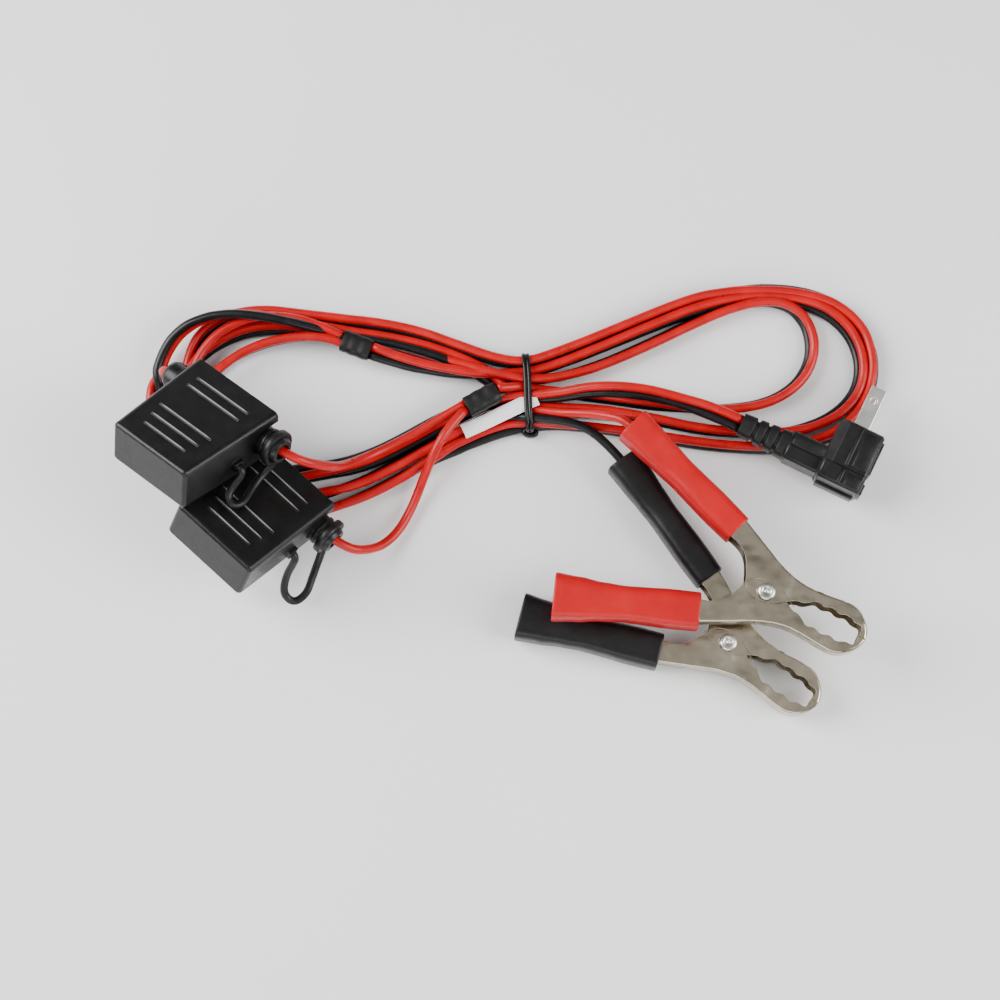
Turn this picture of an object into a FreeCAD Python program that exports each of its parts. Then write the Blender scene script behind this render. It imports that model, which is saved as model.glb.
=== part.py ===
import FreeCAD, Part
import math
import os

from FreeCAD import Placement, Rotation, Vector

# A 12 V battery charging lead: an angled two-blade plug on a red and black twin cable, two
# inline blade-fuse holders spliced into it, and two spring clips for the battery posts.
# Millimetres. X runs along the folded lead, Y across it, Z up from the surface it lies on.

# ---------------------------------------------------------------- driving dimensions
WIRE = 3.0                     # one insulated conductor
TWIN = 6.0                     # the red and black pair, side by side

# battery clips, drawn in their own frame: the rivet at the origin, the tips along +X
SHEET = 0.9
CLIP_HALF_WIDTH = 5.2          # over the outer channel's side plates
CHANNEL_GAP = 0.1              # between the nested channels' plates
HANDLE_ANGLE = 20.0            # each handle from the clip's axis
HANDLE_START = (-16.0, 14.2)
HANDLE_HALF_DEPTH = 3.5
HANDLE_LENGTH = 42.0
FIXED_GRIP = (0.2, 47.3, (4.9, 5.0, 5.9))    # start and length on the handle, and half depths
MOVING_GRIP = (0.1, 45.9, (5.9, 5.7, 7.6))
GRIP_HALF_HEIGHT = 6.8
RIVET_RADIUS, RIVET_HEAD_RADIUS, RIVET_HEAD = 2.5, 2.75, 1.1
RIVET_FIT = 0.05
SPRING_WIRE, SPRING_OUTER, SPRING_INNER, SPRING_HALF_LENGTH = 1.2, 4.0, 2.7, 3.1
TOOTH_PITCH, TOOTH_DEPTH = 5.2, 0.35
CRIMP_START, CRIMP_LENGTH, CRIMP_RADIUS = 33.0, 7.0, 2.2

BLACK_CLIP = Placement(Vector(75.0, -33.7, 6.8), Rotation(-34.5, 0, 0))
RED_CLIP = Placement(Vector(86.0, -19.5, 20.7), Rotation(-26.0, 0, 0))

# fuse holders, drawn in their own frame: leads along X, the cap's mouth at y = 0
CAP_MOUTH = (34.8, 17.1)
CAP_END = (30.8, 15.9)
CAP_DEPTH = 39.0
CAP_WALL = 1.5
CAP_CORNER = 1.8
RIB = (0.9, 0.4)
RIB_ROWS = ((-7.0, 22.0), (-11.2, 22.0), (-23.2, 22.0), (-27.8, 20.0), (-32.2, 17.5))
LEAD_AXIS_Y = -5.0
NECK_RADIUS, NECK_TIP_RADIUS, NECK_END = 4.7, 3.9, 24.4
NOTCH_RADIUS = 5.1
EYELET = (20.4, 22.8, 6.1)     # from x, to x, outer radius
BLOCK = (15.1, 6.8, -11.0)     # half width, half thickness, inner end
TOWER = (11.6, 4.0, -21.0)
BLADE_X, BLADE_WIDTH, BLADE_THICK = 7.0, 5.1, 0.65
BLADE_TIP, BLADE_ROOT = -12.9, -29.5
FUSE_BODY = (19.1, 5.1, -21.4, -33.6)
SOCKET = (6.4, 1.9, -6.0, -20.4)
BARREL = (8.4, 15.8, 2.0)
BORE_RADIUS = 1.6
NECK_STRAIGHT = 12.4           # how far a lead runs straight from its terminal
LEAD_STRAIGHT = 9.6            # and a clip's lead from its crimp
TETHER_WIRE = 2.4

UPPER_HOLDER = Placement(Vector(-79.6, 39.5, 28.4), Rotation(-37.7, -16.4, -30.2))
LOWER_HOLDER = Placement(Vector(-64.1, 17.2, 14.2), Rotation(-42.4, -0.7, -29.0))

# splices, tie and label on the folded cable
SPLICE_A = Placement(Vector(-43.2, 63.1, 8.6), Rotation(-21.0, 0, 0))
SPLICE_B = Placement(Vector(-2.7, 45.1, 9.4), Rotation(29.0, 0, 0))
SPLICE_A_SIZE = (9.6, 7.4, 5.4)
SPLICE_B_SIZE = (11.2, 7.2, 5.4)
CRIMP = (6.5, 1.2)             # butt connector length and radius
TIE_X, TIE_WIDTH, TIE_WIRE = 11.9, 2.4, 1.1
NECK_Y, NECK_Z = (36.9, 59.5), (1.2, 8.4)
LABEL = Placement(Vector(2.6, 40.0, 7.6), Rotation(25.0, 0, 0))
LABEL_SIZE = (26.0, 5.4, 0.3)

# plug, drawn in its own frame: the arm along +X from the strain relief, the blades along +Y
PLUG = Placement(Vector(94.4, 29.5, 0), Rotation(-26.0, 0, 0))
ARM = (0.0, 13.0, 4.9, 6.6, 17.0)          # from x, to x, half width, bottom, top
HEAD = (12.1, 27.2, -6.1, 14.6, 6.4, 20.4)  # x, x, y, y, bottom, top
PLUG_WALL = 1.7
PLUG_BEVEL = 0.8
FACE_WALL = 3.2
RELIEF_LENGTH, RELIEF_TIP, RELIEF_ROOT, RELIEF_Z = 16.0, 3.7, 4.7, 11.8
PIN_WIDTH, PIN_THICK, PIN_OUT, PIN_IN = 5.2, 1.5, 14.0, 9.0
PIN_X, FLAT_PIN_Z, UPRIGHT_PIN_Z = 18.9, 17.0, 11.4

# the folded cable's height where it lies, where it passes the lower holder, and its end turn
HANK_HEIGHT, TURN_HEIGHT, UNDER_PLUG = 9.5, 14.5, 6.2

# from the frame in which these places are given to the part's own
ORIGIN_SHIFT = Vector(0, 1.0, 0)

# ---------------------------------------------------------------- small tools
Z = Vector(0, 0, 1)


def save(name, shape):
    """Write one node's STEP file, with the origin under the middle of the clips and holders."""
    shape = placed(shape, Placement(ORIGIN_SHIFT, Rotation()))
    shape.exportStep(f"parts/{name}.step")
    solids = len(shape.Solids)
    print(f"{name:26s} solids {solids}  volume {shape.Volume:10.1f}  valid {shape.isValid()}")


def placed(shape, placement):
    """A copy of a shape moved from its own frame into the part's frame."""
    copy = shape.copy()
    copy.Placement = placement.multiply(copy.Placement)
    return copy


def span(x0, x1, y0, y1, z0, z1):
    """A box between two corners."""
    return Part.makeBox(x1 - x0, y1 - y0, z1 - z0, Vector(x0, y0, z0))


def block(centre, size):
    """A box about a centre."""
    (cx, cy, cz), (dx, dy, dz) = centre, size
    return span(cx - dx / 2, cx + dx / 2, cy - dy / 2, cy + dy / 2, cz - dz / 2, cz + dz / 2)


def rod(start, end, radius):
    """A cylinder between two points."""
    a, b = Vector(*start), Vector(*end)
    return Part.makeCylinder(radius, (b - a).Length, a, b - a)


def cone(start, end, r0, r1):
    """A cone frustum between two points."""
    a, b = Vector(*start), Vector(*end)
    return Part.makeCone(r0, r1, (b - a).Length, a, b - a)


def mirrored_y(shape):
    return shape.mirror(Vector(0, 0, 0), Vector(0, 1, 0))


def mirrored_x(shape):
    return shape.mirror(Vector(0, 0, 0), Vector(1, 0, 0))


def spline(points):
    """A smooth edge through plane points."""
    curve = Part.BSplineCurve()
    curve.interpolate([Vector(x, y, 0) for x, y in points])
    return curve.toShape()


def line(a, b):
    return Part.makeLine(Vector(a[0], a[1], 0), Vector(b[0], b[1], 0))


def slab(edges, z0, z1):
    """A closed plane outline raised from z0 to z1."""
    face = Part.Face(Part.Wire(Part.__sortEdges__(edges)))
    solid = face.extrude(Vector(0, 0, z1 - z0))
    solid.translate(Vector(0, 0, z0))
    return solid


def offset_points(points, distance):
    """Plane points moved sideways, to the right of the way they run."""
    moved = []
    last = len(points) - 1
    for i, (x, y) in enumerate(points):
        x0, y0 = points[max(i - 1, 0)]
        x1, y1 = points[min(i + 1, last)]
        dx, dy = x1 - x0, y1 - y0
        size = math.hypot(dx, dy)
        moved.append((x + distance * dy / size, y - distance * dx / size))
    return moved


def bend(before, corner, after, share=0.45):
    """The arc that rounds one corner of a path, as large as its two runs allow."""
    into, out = before - corner, after - corner
    setback = share * min(into.Length, out.Length)
    half_turn = (math.pi - into.getAngle(out)) / 2
    radius = setback / math.tan(half_turn)
    a = corner + into.normalize() * setback
    b = corner + out.normalize() * setback
    bisector = ((a + b) * 0.5 - corner).normalize()
    centre_distance = math.hypot(setback, radius)
    middle = corner + bisector * (centre_distance - radius)
    return a, middle, b, radius


def path_edges(points):
    """Straight runs joined by tangent arcs, and the arcs' radii."""
    points = [Vector(*p) for p in points]
    edges, radii, start = [], [], points[0]
    for before, corner, after in zip(points, points[1:], points[2:]):
        a, middle, b, radius = bend(before, corner, after)
        edges.append(Part.LineSegment(start, a).toShape())
        edges.append(Part.Arc(a, middle, b).toShape())
        radii.append(radius)
        start = b
    edges.append(Part.LineSegment(start, points[-1]).toShape())
    return edges, radii


def tube(name, points, diameter):
    """A plain round tube along a route; prints its bends, length and volume."""
    edges, radii = path_edges(points)
    wire = Part.Wire(edges)
    direction = Vector(*points[1]) - Vector(*points[0])
    profile = Part.Wire(Part.makeCircle(diameter / 2, Vector(*points[0]), direction))
    solid = wire.makePipeShell([profile], True, False)
    expected = math.pi * diameter ** 2 / 4 * wire.Length
    print(f"{name}: length {wire.Length:.1f}, tightest bend {min(radii):.1f},",
          f"volume {solid.Volume / expected:.3f} of section x length")
    return solid


def rounded_outline(points, share=0.45):
    """A closed plane outline of straight sides and tangent arcs, through hand-picked corners."""
    corners = [Vector(x, y, 0) for x, y in points]
    arcs = [bend(corners[i - 1], corners[i], corners[(i + 1) % len(corners)], share)
            for i in range(len(corners))]
    edges = []
    for i, (a, middle, b, _) in enumerate(arcs):
        edges.append(Part.Arc(a, middle, b).toShape())
        following = arcs[(i + 1) % len(arcs)][0]
        if (following - b).Length > 1e-4:
            edges.append(Part.LineSegment(b, following).toShape())
    return edges


def rounded_section(half_width, half_height, radius, x):
    """A rounded rectangle standing across the X axis."""
    w, h, r = half_width, half_height, radius
    s = r * (1 - math.sqrt(0.5))
    corners = [(w, h), (-w, h), (-w, -h), (w, -h)]
    edges = []
    for i, (y, z) in enumerate(corners):
        sy, sz = math.copysign(1, y), math.copysign(1, z)
        a = Vector(x, y, z - sz * r)
        b = Vector(x, y - sy * r, z)
        middle = Vector(x, y - sy * s, z - sz * s)
        if i % 2:
            a, b = b, a
        edges.append(Part.Arc(a, middle, b).toShape())
        ny, nz = corners[(i + 1) % 4]
        after = Vector(x, ny + sy * r, nz) if i % 2 == 0 else Vector(x, ny, nz + sz * r)
        edges.append(Part.LineSegment(b, after).toShape())
    return Part.Wire(edges)


# ---------------------------------------------------------------- battery clip
OUTER_EDGE = ((-9.5, 14.9), (-4.5, 12.4), (-0.5, 10.4), (3.7, 8.7), (7.7, 7.6),
              (11.3, 7.2), (18.0, 7.5), (24.5, 8.1), (27.6, 7.7), (31.0, 5.6), (33.2, 2.8), (34.0, 0.1))
INNER_EDGE = ((10.4, 1.8), (7.6, 0.4), (3.7, -2.2), (-0.9, -3.4), (-4.7, -2.7), (-6.6, -0.9),
              (-7.8, 1.7), (-9.5, 5.4), (-11.5, 8.3), (-14.0, 9.9))
JAW_MOUTH = (13.0, 29.8)       # where the scalloped edge runs along the jaw
JAW_TIP_INNER = (31.6, 0.1)


def handle_point(along, across):
    """A point on the handle: along it from its start, and across it, outwards positive."""
    angle = math.radians(180 - HANDLE_ANGLE)
    dx, dy = math.cos(angle), math.sin(angle)
    x0, y0 = HANDLE_START
    return (x0 + along * dx + across * dy, y0 + along * dy - across * dx)


def scalloped_edge():
    """The toothed inner edge of one jaw, from the tip back to the lobe round the rivet."""
    x0, x1 = JAW_MOUTH
    points = [JAW_TIP_INNER]
    steps = 16
    for i in range(steps + 1):
        x = x1 + (x0 - x1) * i / steps
        arch = 4.1 - 3.4 * ((x - 22.0) / 11.5) ** 4
        y = arch - TOOTH_DEPTH * math.cos(2 * math.pi * (x - x0) / TOOTH_PITCH)
        points.append((x, y))
    points.append(INNER_EDGE[0])
    return points


def half_plate(z0, z1):
    """One side plate of a clip half: jaw, lobe and handle in one outline."""
    depth = HANDLE_HALF_DEPTH
    outer = (handle_point(0, depth), *OUTER_EDGE)
    inner = (*INNER_EDGE, handle_point(0, -depth))
    inner_end, outer_end = handle_point(HANDLE_LENGTH, -depth), handle_point(HANDLE_LENGTH, depth)
    edges = [
        spline(outer),
        line(outer[-1], JAW_TIP_INNER),
        spline(scalloped_edge()),
        spline(inner),
        line(inner[-1], inner_end),
        line(inner_end, outer_end),
        line(outer_end, outer[0]),
    ]
    return slab(edges, z0, z1)


def half_web(half_width):
    """The wall along a clip half's outer edge, from the jaw's tip to the handle's end."""
    outer = (handle_point(0, HANDLE_HALF_DEPTH), *OUTER_EDGE)
    tip = (OUTER_EDGE[-1][0] - SHEET, OUTER_EDGE[-1][1])
    inside = (handle_point(0, HANDLE_HALF_DEPTH - SHEET), *offset_points(outer, SHEET)[1:-1], tip)
    jaw = slab([spline(outer), line(outer[-1], tip), spline(inside), line(inside[0], outer[0])],
               -half_width, half_width)
    outer_end = handle_point(HANDLE_LENGTH, HANDLE_HALF_DEPTH)
    inner_end = handle_point(HANDLE_LENGTH, HANDLE_HALF_DEPTH - SHEET)
    handle = slab([line(outer[0], outer_end), line(outer_end, inner_end),
                   line(inner_end, inside[0]), line(inside[0], outer[0])], -half_width, half_width)
    return jaw.fuse(handle)


def clip_half(half_width, hole_radius):
    """A pressed-steel channel: two side plates and the web that joins them."""
    top = half_plate(half_width - SHEET, half_width)
    bottom = half_plate(-half_width, -half_width + SHEET)
    half = top.fuse(bottom).fuse(half_web(half_width))
    return half.cut(rod((0, 0, -10), (0, 0, 10), hole_radius)).removeSplitter()


def clip_grip(sizes, half_width):
    """A soft sleeve over one handle, with the handle's channel as its hollow."""
    start, length, half_depths = sizes
    sections = [rounded_section(depth, GRIP_HALF_HEIGHT + 0.2, 2.9, length * i / 2)
                for i, depth in enumerate(half_depths)]
    sleeve = Part.makeLoft(sections, True, False)
    flats = span(-1, length + 1, -20, 20, -GRIP_HALF_HEIGHT, GRIP_HALF_HEIGHT)
    sleeve = sleeve.common(flats)
    hollow = span(-1, length + 1, -HANDLE_HALF_DEPTH, HANDLE_HALF_DEPTH, -half_width, half_width)
    grip = sleeve.cut(hollow)
    x, y = handle_point(start, 0)
    return placed(grip, Placement(Vector(x, y, 0), Rotation(180 - HANDLE_ANGLE, 0, 0)))


def clip_rivet():
    """The hinge rivet: a plain shank with a domed and dimpled head at each end."""
    shank = rod((0, 0, -CLIP_HALF_WIDTH), (0, 0, CLIP_HALF_WIDTH), RIVET_RADIUS)
    base = CLIP_HALF_WIDTH
    skirt = rod((0, 0, base), (0, 0, base + 0.4), RIVET_HEAD_RADIUS)
    dome = cone((0, 0, base + 0.4), (0, 0, base + RIVET_HEAD), RIVET_HEAD_RADIUS, 1.7)
    dimple = cone((0, 0, base + 0.3), (0, 0, base + RIVET_HEAD + 0.1), 0.2, 1.2)
    head = skirt.fuse(dome).cut(dimple)
    other = head.mirror(Vector(0, 0, 0), Z)
    return shank.fuse(head).fuse(other).removeSplitter()


def clip_spring():
    """The torsion spring: its coil round the rivet and a leg into each handle."""
    half = SPRING_HALF_LENGTH
    coil = rod((0, 0, -half), (0, 0, half), SPRING_OUTER)
    coil = coil.cut(rod((0, 0, -half), (0, 0, half), SPRING_INNER))
    wire = SPRING_WIRE / 2
    x, y = handle_point(5.0, HANDLE_HALF_DEPTH - SHEET - wire - 0.05)
    level = half - wire
    leg = rod((-1.6, 2.9, level), (x, y, level), wire)
    other = rod((-1.6, -2.9, -level), (x, -y, -level), wire)
    return coil.fuse(leg).fuse(other)


def clip_crimp():
    """The crimp barrel that holds the lead's end in the fixed handle."""
    x, y = handle_point(0, 0)
    barrel = rod((CRIMP_START, 0, 0), (CRIMP_START + CRIMP_LENGTH, 0, 0), CRIMP_RADIUS)
    barrel = barrel.cut(rod((CRIMP_START, 0, 0), (CRIMP_START + CRIMP_LENGTH, 0, 0), 1.1))
    lug = span(CRIMP_START - 6, CRIMP_START + 0.5, -2.0, 2.0, -0.5, 0.5)
    return placed(barrel.fuse(lug), Placement(Vector(x, y, 0), Rotation(180 - HANDLE_ANGLE, 0, 0)))


def make_clip(colour, placement):
    fixed = clip_half(CLIP_HALF_WIDTH, RIVET_RADIUS)
    inner_width = CLIP_HALF_WIDTH - SHEET - CHANNEL_GAP
    moving = mirrored_y(clip_half(inner_width, RIVET_RADIUS + RIVET_FIT))
    nodes = {
        "fixed_jaw": fixed,
        "moving_jaw": moving,
        "rivet": clip_rivet(),
        "spring": clip_spring(),
        "lead_crimp": clip_crimp(),
        "fixed_grip": clip_grip(FIXED_GRIP, CLIP_HALF_WIDTH),
        "moving_grip": mirrored_y(clip_grip(MOVING_GRIP, inner_width)),
    }
    for name, shape in nodes.items():
        save(f"{colour}_clip_{name}", placed(shape, placement))


# ---------------------------------------------------------------- fuse holder
def tapered_box(mouth, end, y0, y1, radius):
    """A box that narrows from its mouth at y0 to its end at y1, with rounded long edges."""
    sections = []
    for (width, thick), y in ((mouth, y0), (end, y1)):
        sections.append(rounded_section(width / 2, thick / 2, radius, y))
    along_x = Part.makeLoft(sections, True, True)
    return placed(along_x, Placement(Vector(0, 0, 0), Rotation(90, 0, 0)))


def holder_cap():
    """The square cap: a thin tapered shell, notched at its mouth for the two lead necks."""
    outer = tapered_box(CAP_MOUTH, CAP_END, 0, -CAP_DEPTH, CAP_CORNER)
    end_edges = [e for e in outer.Edges if e.BoundBox.YMax < -CAP_DEPTH + 0.01]
    outer = outer.makeFillet(1.4, end_edges)
    mouth = tuple(size - 2 * CAP_WALL for size in CAP_MOUTH)
    end = tuple(size - 2 * CAP_WALL for size in CAP_END)
    hollow = tapered_box(mouth, end, 0, -CAP_DEPTH + CAP_WALL, 0.8)
    cap = outer.cut(hollow)
    half = CAP_MOUTH[0] / 2
    notch = rod((-half - 1, LEAD_AXIS_Y, 0), (half + 1, LEAD_AXIS_Y, 0), NOTCH_RADIUS)
    slot = span(-half - 1, half + 1, LEAD_AXIS_Y, 1, -NOTCH_RADIUS, NOTCH_RADIUS)
    cap = cap.cut(notch).cut(slot)
    for y, length in RIB_ROWS:
        slope = (CAP_MOUTH[1] - CAP_END[1]) / 2 / CAP_DEPTH
        surface = CAP_MOUTH[1] / 2 + slope * y
        for side in (1, -1):
            cap = cap.fuse(block((0, y, side * surface), (length, RIB[0], 2 * RIB[1])))
    tab = block((CAP_MOUTH[0] / 2 - 0.4, -17.5, -2.0), (2.2, 3.6, 3.0))
    return cap.fuse(tab).cut(hollow).removeSplitter()


def terminal():
    """One female terminal: the blade socket and the barrel crimped on the lead."""
    width, thick, y0, y1 = SOCKET
    x0, x1, radius = BARREL
    socket = span(BLADE_X - width / 2, BLADE_X + width / 2, y1, y0, -thick / 2, thick / 2)
    barrel = rod((x0, LEAD_AXIS_Y, 0), (x1, LEAD_AXIS_Y, 0), radius)
    solid = socket.fuse(barrel)
    slot_width, slot_thick = BLADE_WIDTH + 0.2, BLADE_THICK + 0.1
    slot = span(BLADE_X - slot_width / 2, BLADE_X + slot_width / 2, y1 - 1, BLADE_TIP + 1.0,
                -slot_thick / 2, slot_thick / 2)
    core = rod((x0 + 3, LEAD_AXIS_Y, 0), (x1 + 1, LEAD_AXIS_Y, 0), 1.1)
    return solid.cut(slot).cut(core).removeSplitter()


def terminal_room():
    """The room that one terminal and its lead take in the base."""
    width, thick, y0, _ = SOCKET
    x0, x1, radius = BARREL
    room = span(BLADE_X - width / 2, BLADE_X + width / 2, TOWER[2] - 1, y0, -thick / 2, thick / 2)
    room = room.fuse(rod((x0, LEAD_AXIS_Y, 0), (x1, LEAD_AXIS_Y, 0), radius))
    room = room.fuse(rod((x1, LEAD_AXIS_Y, 0), (NECK_END + 1, LEAD_AXIS_Y, 0), BORE_RADIUS))
    flare = cone((NECK_END - 3.4, LEAD_AXIS_Y, 0), (NECK_END + 0.2, LEAD_AXIS_Y, 0), BORE_RADIUS, 2.6)
    return room.fuse(flare)


def lead_neck():
    """One neck of the base: a ringed spout for the lead."""
    y = LEAD_AXIS_Y
    neck = rod((BLOCK[0] - 1, y, 0), (EYELET[1], y, 0), NECK_RADIUS)
    neck = neck.fuse(cone((EYELET[1], y, 0), (NECK_END, y, 0), NECK_RADIUS, NECK_TIP_RADIUS))
    return neck.fuse(rod((18.2, y, 0), (19.4, y, 0), NECK_RADIUS + 0.4))


def holder_base():
    """The moulded base: the block in the cap's mouth, the socket tower and both necks."""
    half_width, half_thick, inner = BLOCK
    sections = [rounded_section(half_width, half_thick, 1.4, y) for y in (0.2, -inner)]
    body = placed(Part.makeLoft(sections, True, True), Placement(Vector(0, 0, 0), Rotation(-90, 0, 0)))
    tower_width, tower_thick, tower_end = TOWER
    body = body.fuse(span(-tower_width, tower_width, tower_end, inner, -tower_thick, tower_thick))
    neck, room = lead_neck(), terminal_room()
    for side in (neck, mirrored_x(neck)):
        body = body.fuse(side)
    for side in (room, mirrored_x(room)):
        body = body.cut(side)
    return body.removeSplitter()


def fuse_element():
    """The fuse's metal: two blades joined by the link inside the coloured body."""
    half = BLADE_WIDTH / 2
    thick = BLADE_THICK / 2
    element = span(-BLADE_X + half - 1, BLADE_X - half + 1, BLADE_ROOT, BLADE_ROOT + 2.2, -thick, thick)
    for x in (-BLADE_X, BLADE_X):
        element = element.fuse(span(x - half, x + half, BLADE_ROOT, BLADE_TIP, -thick, thick))
    return element.removeSplitter()


def fuse_body(element):
    """The fuse's moulded body: a wide head on a narrower skirt."""
    width, thick, y0, y1 = FUSE_BODY
    skirt = block((0, (y0 + y1) / 2, 0), (width - 1.6, y0 - y1, thick - 1.2))
    head = block((0, y1 + 2.2, 0), (width, 4.4, thick))
    return skirt.fuse(head).removeSplitter().cut(element)


def tether(name, route):
    """The strap that keeps the cap: an eyelet round the right neck and a strap to the cap."""
    x0, x1, radius = EYELET
    eyelet = rod((x0, LEAD_AXIS_Y, 0), (x1, LEAD_AXIS_Y, 0), radius)
    neck = rod((x0 - 1, LEAD_AXIS_Y, 0), (x1 + 1, LEAD_AXIS_Y, 0), NECK_RADIUS)
    return eyelet.fuse(tube(name, route, TETHER_WIRE)).cut(neck)


def make_holder(prefix, placement, route):
    element, contact = fuse_element(), terminal()
    nodes = {
        "base": holder_base(),
        "cap": holder_cap(),
        "terminals": Part.makeCompound([contact, mirrored_x(contact)]),
        "blade_fuse_metal": element,
        "blade_fuse_body": fuse_body(element),
    }
    for name, shape in nodes.items():
        save(f"{prefix}_{name}", placed(shape, placement))
    save(f"{prefix}_tether", placed(tether(f"{prefix}_tether", route), placement))


def holder_room(placement):
    """The space that a holder, its necks and its cap's travel take above the folded cable."""
    body = block((0, -45, 0), (CAP_MOUTH[0] + 2.4, 94, CAP_MOUTH[1] + 1.2))
    necks = block((0, LEAD_AXIS_Y, 0), (2 * NECK_END + 1, 13.0, 12.6))
    return placed(body.fuse(necks), placement)


# from the eyelet round to the tab on the cap's side, in the holder's own frame
UPPER_TETHER = ((21.6, -5.0, -4.9), (21.2, -8.6, -8.0), (21.2, -12.4, -9.6), (22.2, -16.8, -10.8),
                (23.6, -21.0, -11.4), (22.6, -24.6, -11.2), (19.9, -24.4, -9.6), (19.2, -21.4, -7.2),
                (19.6, -18.6, -4.8), (19.6, -17.5, -2.6))
LOWER_TETHER = ((21.6, -5.0, -4.9), (23.1, -7.1, -10.2), (25.3, -11.5, -14.2), (27.5, -15.4, -17.1),
                (26.5, -19.6, -20.1), (22.0, -20.7, -18.3), (19.8, -19.2, -11.7), (19.6, -18.1, -5.9),
                (19.6, -17.6, -2.6))

# ---------------------------------------------------------------- the cable's free stretches
# Centre lines, chosen by hand, each from the piece that it leaves.
LOWER_OUT_LEAD = ((-36.4, -3.4, 7.6), (-30.0, 2.2, 4.0), (-25.4, 10.4, 3.4), (-21.8, 19.2, 6.2),
                  (-18.2, 27.6, 11.0), (-13.6, 35.4, 12.4), (-8.2, 41.6, 10.4))
UPPER_OUT_LEAD = ((-50.0, 19.6, 27.0), (-45.6, 22.4, 17.0), (-39.8, 26.0, 10.6), (-33.4, 29.4, 7.0))
UPPER_IN_LEAD = ((-104.0, 51.0, 14.4), (-98.6, 47.0, 7.8))
LOWER_IN_LEAD = ((-93.6, 39.6, 13.6), (-96.6, 44.6, 8.4))
PLUG_CABLE = ((60.4, 44.2, 13.2), (47.2, 47.2, 13.4), (33.8, 48.2, 11.8), (22.0, 46.8, 7.8))
BLACK_LEAD = ((31.0, 36.4, 5.6), (21.4, 38.8, 4.4))
RED_LEAD = ((36.8, 37.8, 17.6), (29.4, 40.2, 12.0), (22.0, 41.6, 7.6))


def on_axis(placement, places, y, z=0.0):
    """Points along the X axis of a piece's own frame, at one side and height of it."""
    return [tuple(placement.multVec(Vector(x, y, z))) for x in places]


def lead_end(placement):
    """Where a clip's lead meets its crimp barrel, and a point on its way out of the grip."""
    points = [handle_point(CRIMP_START + CRIMP_LENGTH + more, 0) for more in (0.0, LEAD_STRAIGHT)]
    return [tuple(placement.multVec(Vector(x, y, 0))) for x, y in points]


def neck_end(placement, side):
    """Where a fuse lead meets its terminal's barrel, and a point outside its neck."""
    return on_axis(placement, (side * BARREL[1], side * (BARREL[1] + NECK_STRAIGHT)), LEAD_AXIS_Y)


def folded_left(cutters):
    """The left half of the folded cable: two arms and the turn under the fuse holders."""
    outside = ((TIE_X + 14, 59.5), (2.0, 59.0), (-10.0, 63.7), (-30.0, 71.2), (-52.0, 74.2),
               (-75.0, 78.0), (-95.0, 72.0), (-107.5, 58.0), (-110.0, 40.0), (-104.0, 20.0),
               (-90.0, 8.6), (-70.0, 4.6), (-49.5, 8.2), (-28.0, 18.2), (-7.0, 29.6), (TIE_X, 36.9),
               (TIE_X + 14, 36.9))
    gap = ((-13.0, 45.5), (-29.0, 34.8), (-45.0, 27.2), (-62.0, 26.0), (-72.0, 33.0), (-83.0, 46.0),
           (-83.0, 56.0), (-70.0, 62.6), (-50.0, 59.0), (-34.0, 52.4))
    band = slab(rounded_outline(outside), 0, TURN_HEIGHT)
    band = band.cut(slab(rounded_outline(gap), -1, TURN_HEIGHT + 1))
    arms = span(-72, 40, -10, 100, HANK_HEIGHT, TURN_HEIGHT + 1)
    band = band.cut(arms).cut(span(TIE_X, 60, 0, 100, -1, 30))
    return trimmed(band, cutters)


def folded_right(cutters):
    """The right half of the folded cable: two arms, the outer turns and the inner one."""
    outside = ((TIE_X - 14, 59.5), (TIE_X + 4, 59.5), (34.0, 68.2), (56.0, 78.4), (80.0, 84.6),
               (106.0, 81.6), (121.0, 70.0), (126.4, 54.0), (119.0, 38.0), (106.0, 27.6),
               (84.0, 26.6), (62.0, 30.0), (38.0, 36.6), (TIE_X, 36.9), (TIE_X - 14, 36.9))
    near_gap = ((24.0, 49.5), (40.0, 57.6), (60.0, 66.8), (84.0, 75.4), (97.0, 74.6), (102.4, 63.0),
                (97.0, 51.0), (84.0, 45.2), (66.0, 44.6), (46.0, 47.4))
    far_gap = ((104.6, 75.8), (113.0, 72.0), (118.2, 62.0), (116.6, 50.0), (106.0, 39.6),
               (92.0, 36.0), (90.0, 41.6), (101.0, 48.0), (107.2, 60.0), (105.4, 70.0))
    band = slab(rounded_outline(outside), 0, HANK_HEIGHT)
    for gap in (near_gap, far_gap):
        band = band.cut(slab(rounded_outline(gap), -1, HANK_HEIGHT + 1))
    return trimmed(band.cut(span(-60, TIE_X, 0, 100, -1, 30)), cutters)


def trimmed(band, cutters):
    """A half of the folded cable, pinched for the tie and clear of everything in or on it."""
    pinch = span(TIE_X - TIE_WIDTH / 2, TIE_X + TIE_WIDTH / 2, 0, 100, -1, 30)
    core = span(TIE_X - TIE_WIDTH, TIE_X + TIE_WIDTH, NECK_Y[0], NECK_Y[1], NECK_Z[0], NECK_Z[1])
    band = band.cut(pinch.cut(core))
    for cutter in cutters:
        band = band.cut(cutter)
    return band


# ---------------------------------------------------------------- splices, tie and label
def splice(size, placement):
    """A shrink sleeve and the two butt connectors inside it."""
    length, width, thick = size
    ends = (-length / 2, -length / 4, length / 4, length / 2)
    widths = (width / 2 - 0.5, width / 2, width / 2, width / 2 - 0.5)
    sections = [rounded_section(w, thick / 2, 2.1, x) for x, w in zip(ends, widths)]
    crimp_length, radius = CRIMP
    crimps = [rod((-crimp_length / 2, y, 0), (crimp_length / 2, y, 0), radius) for y in (-1.7, 1.7)]
    sleeve = Part.makeLoft(sections, True, True)
    for crimp in crimps:
        sleeve = sleeve.cut(crimp)
    return placed(sleeve, placement), placed(Part.makeCompound(crimps), placement)


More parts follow.
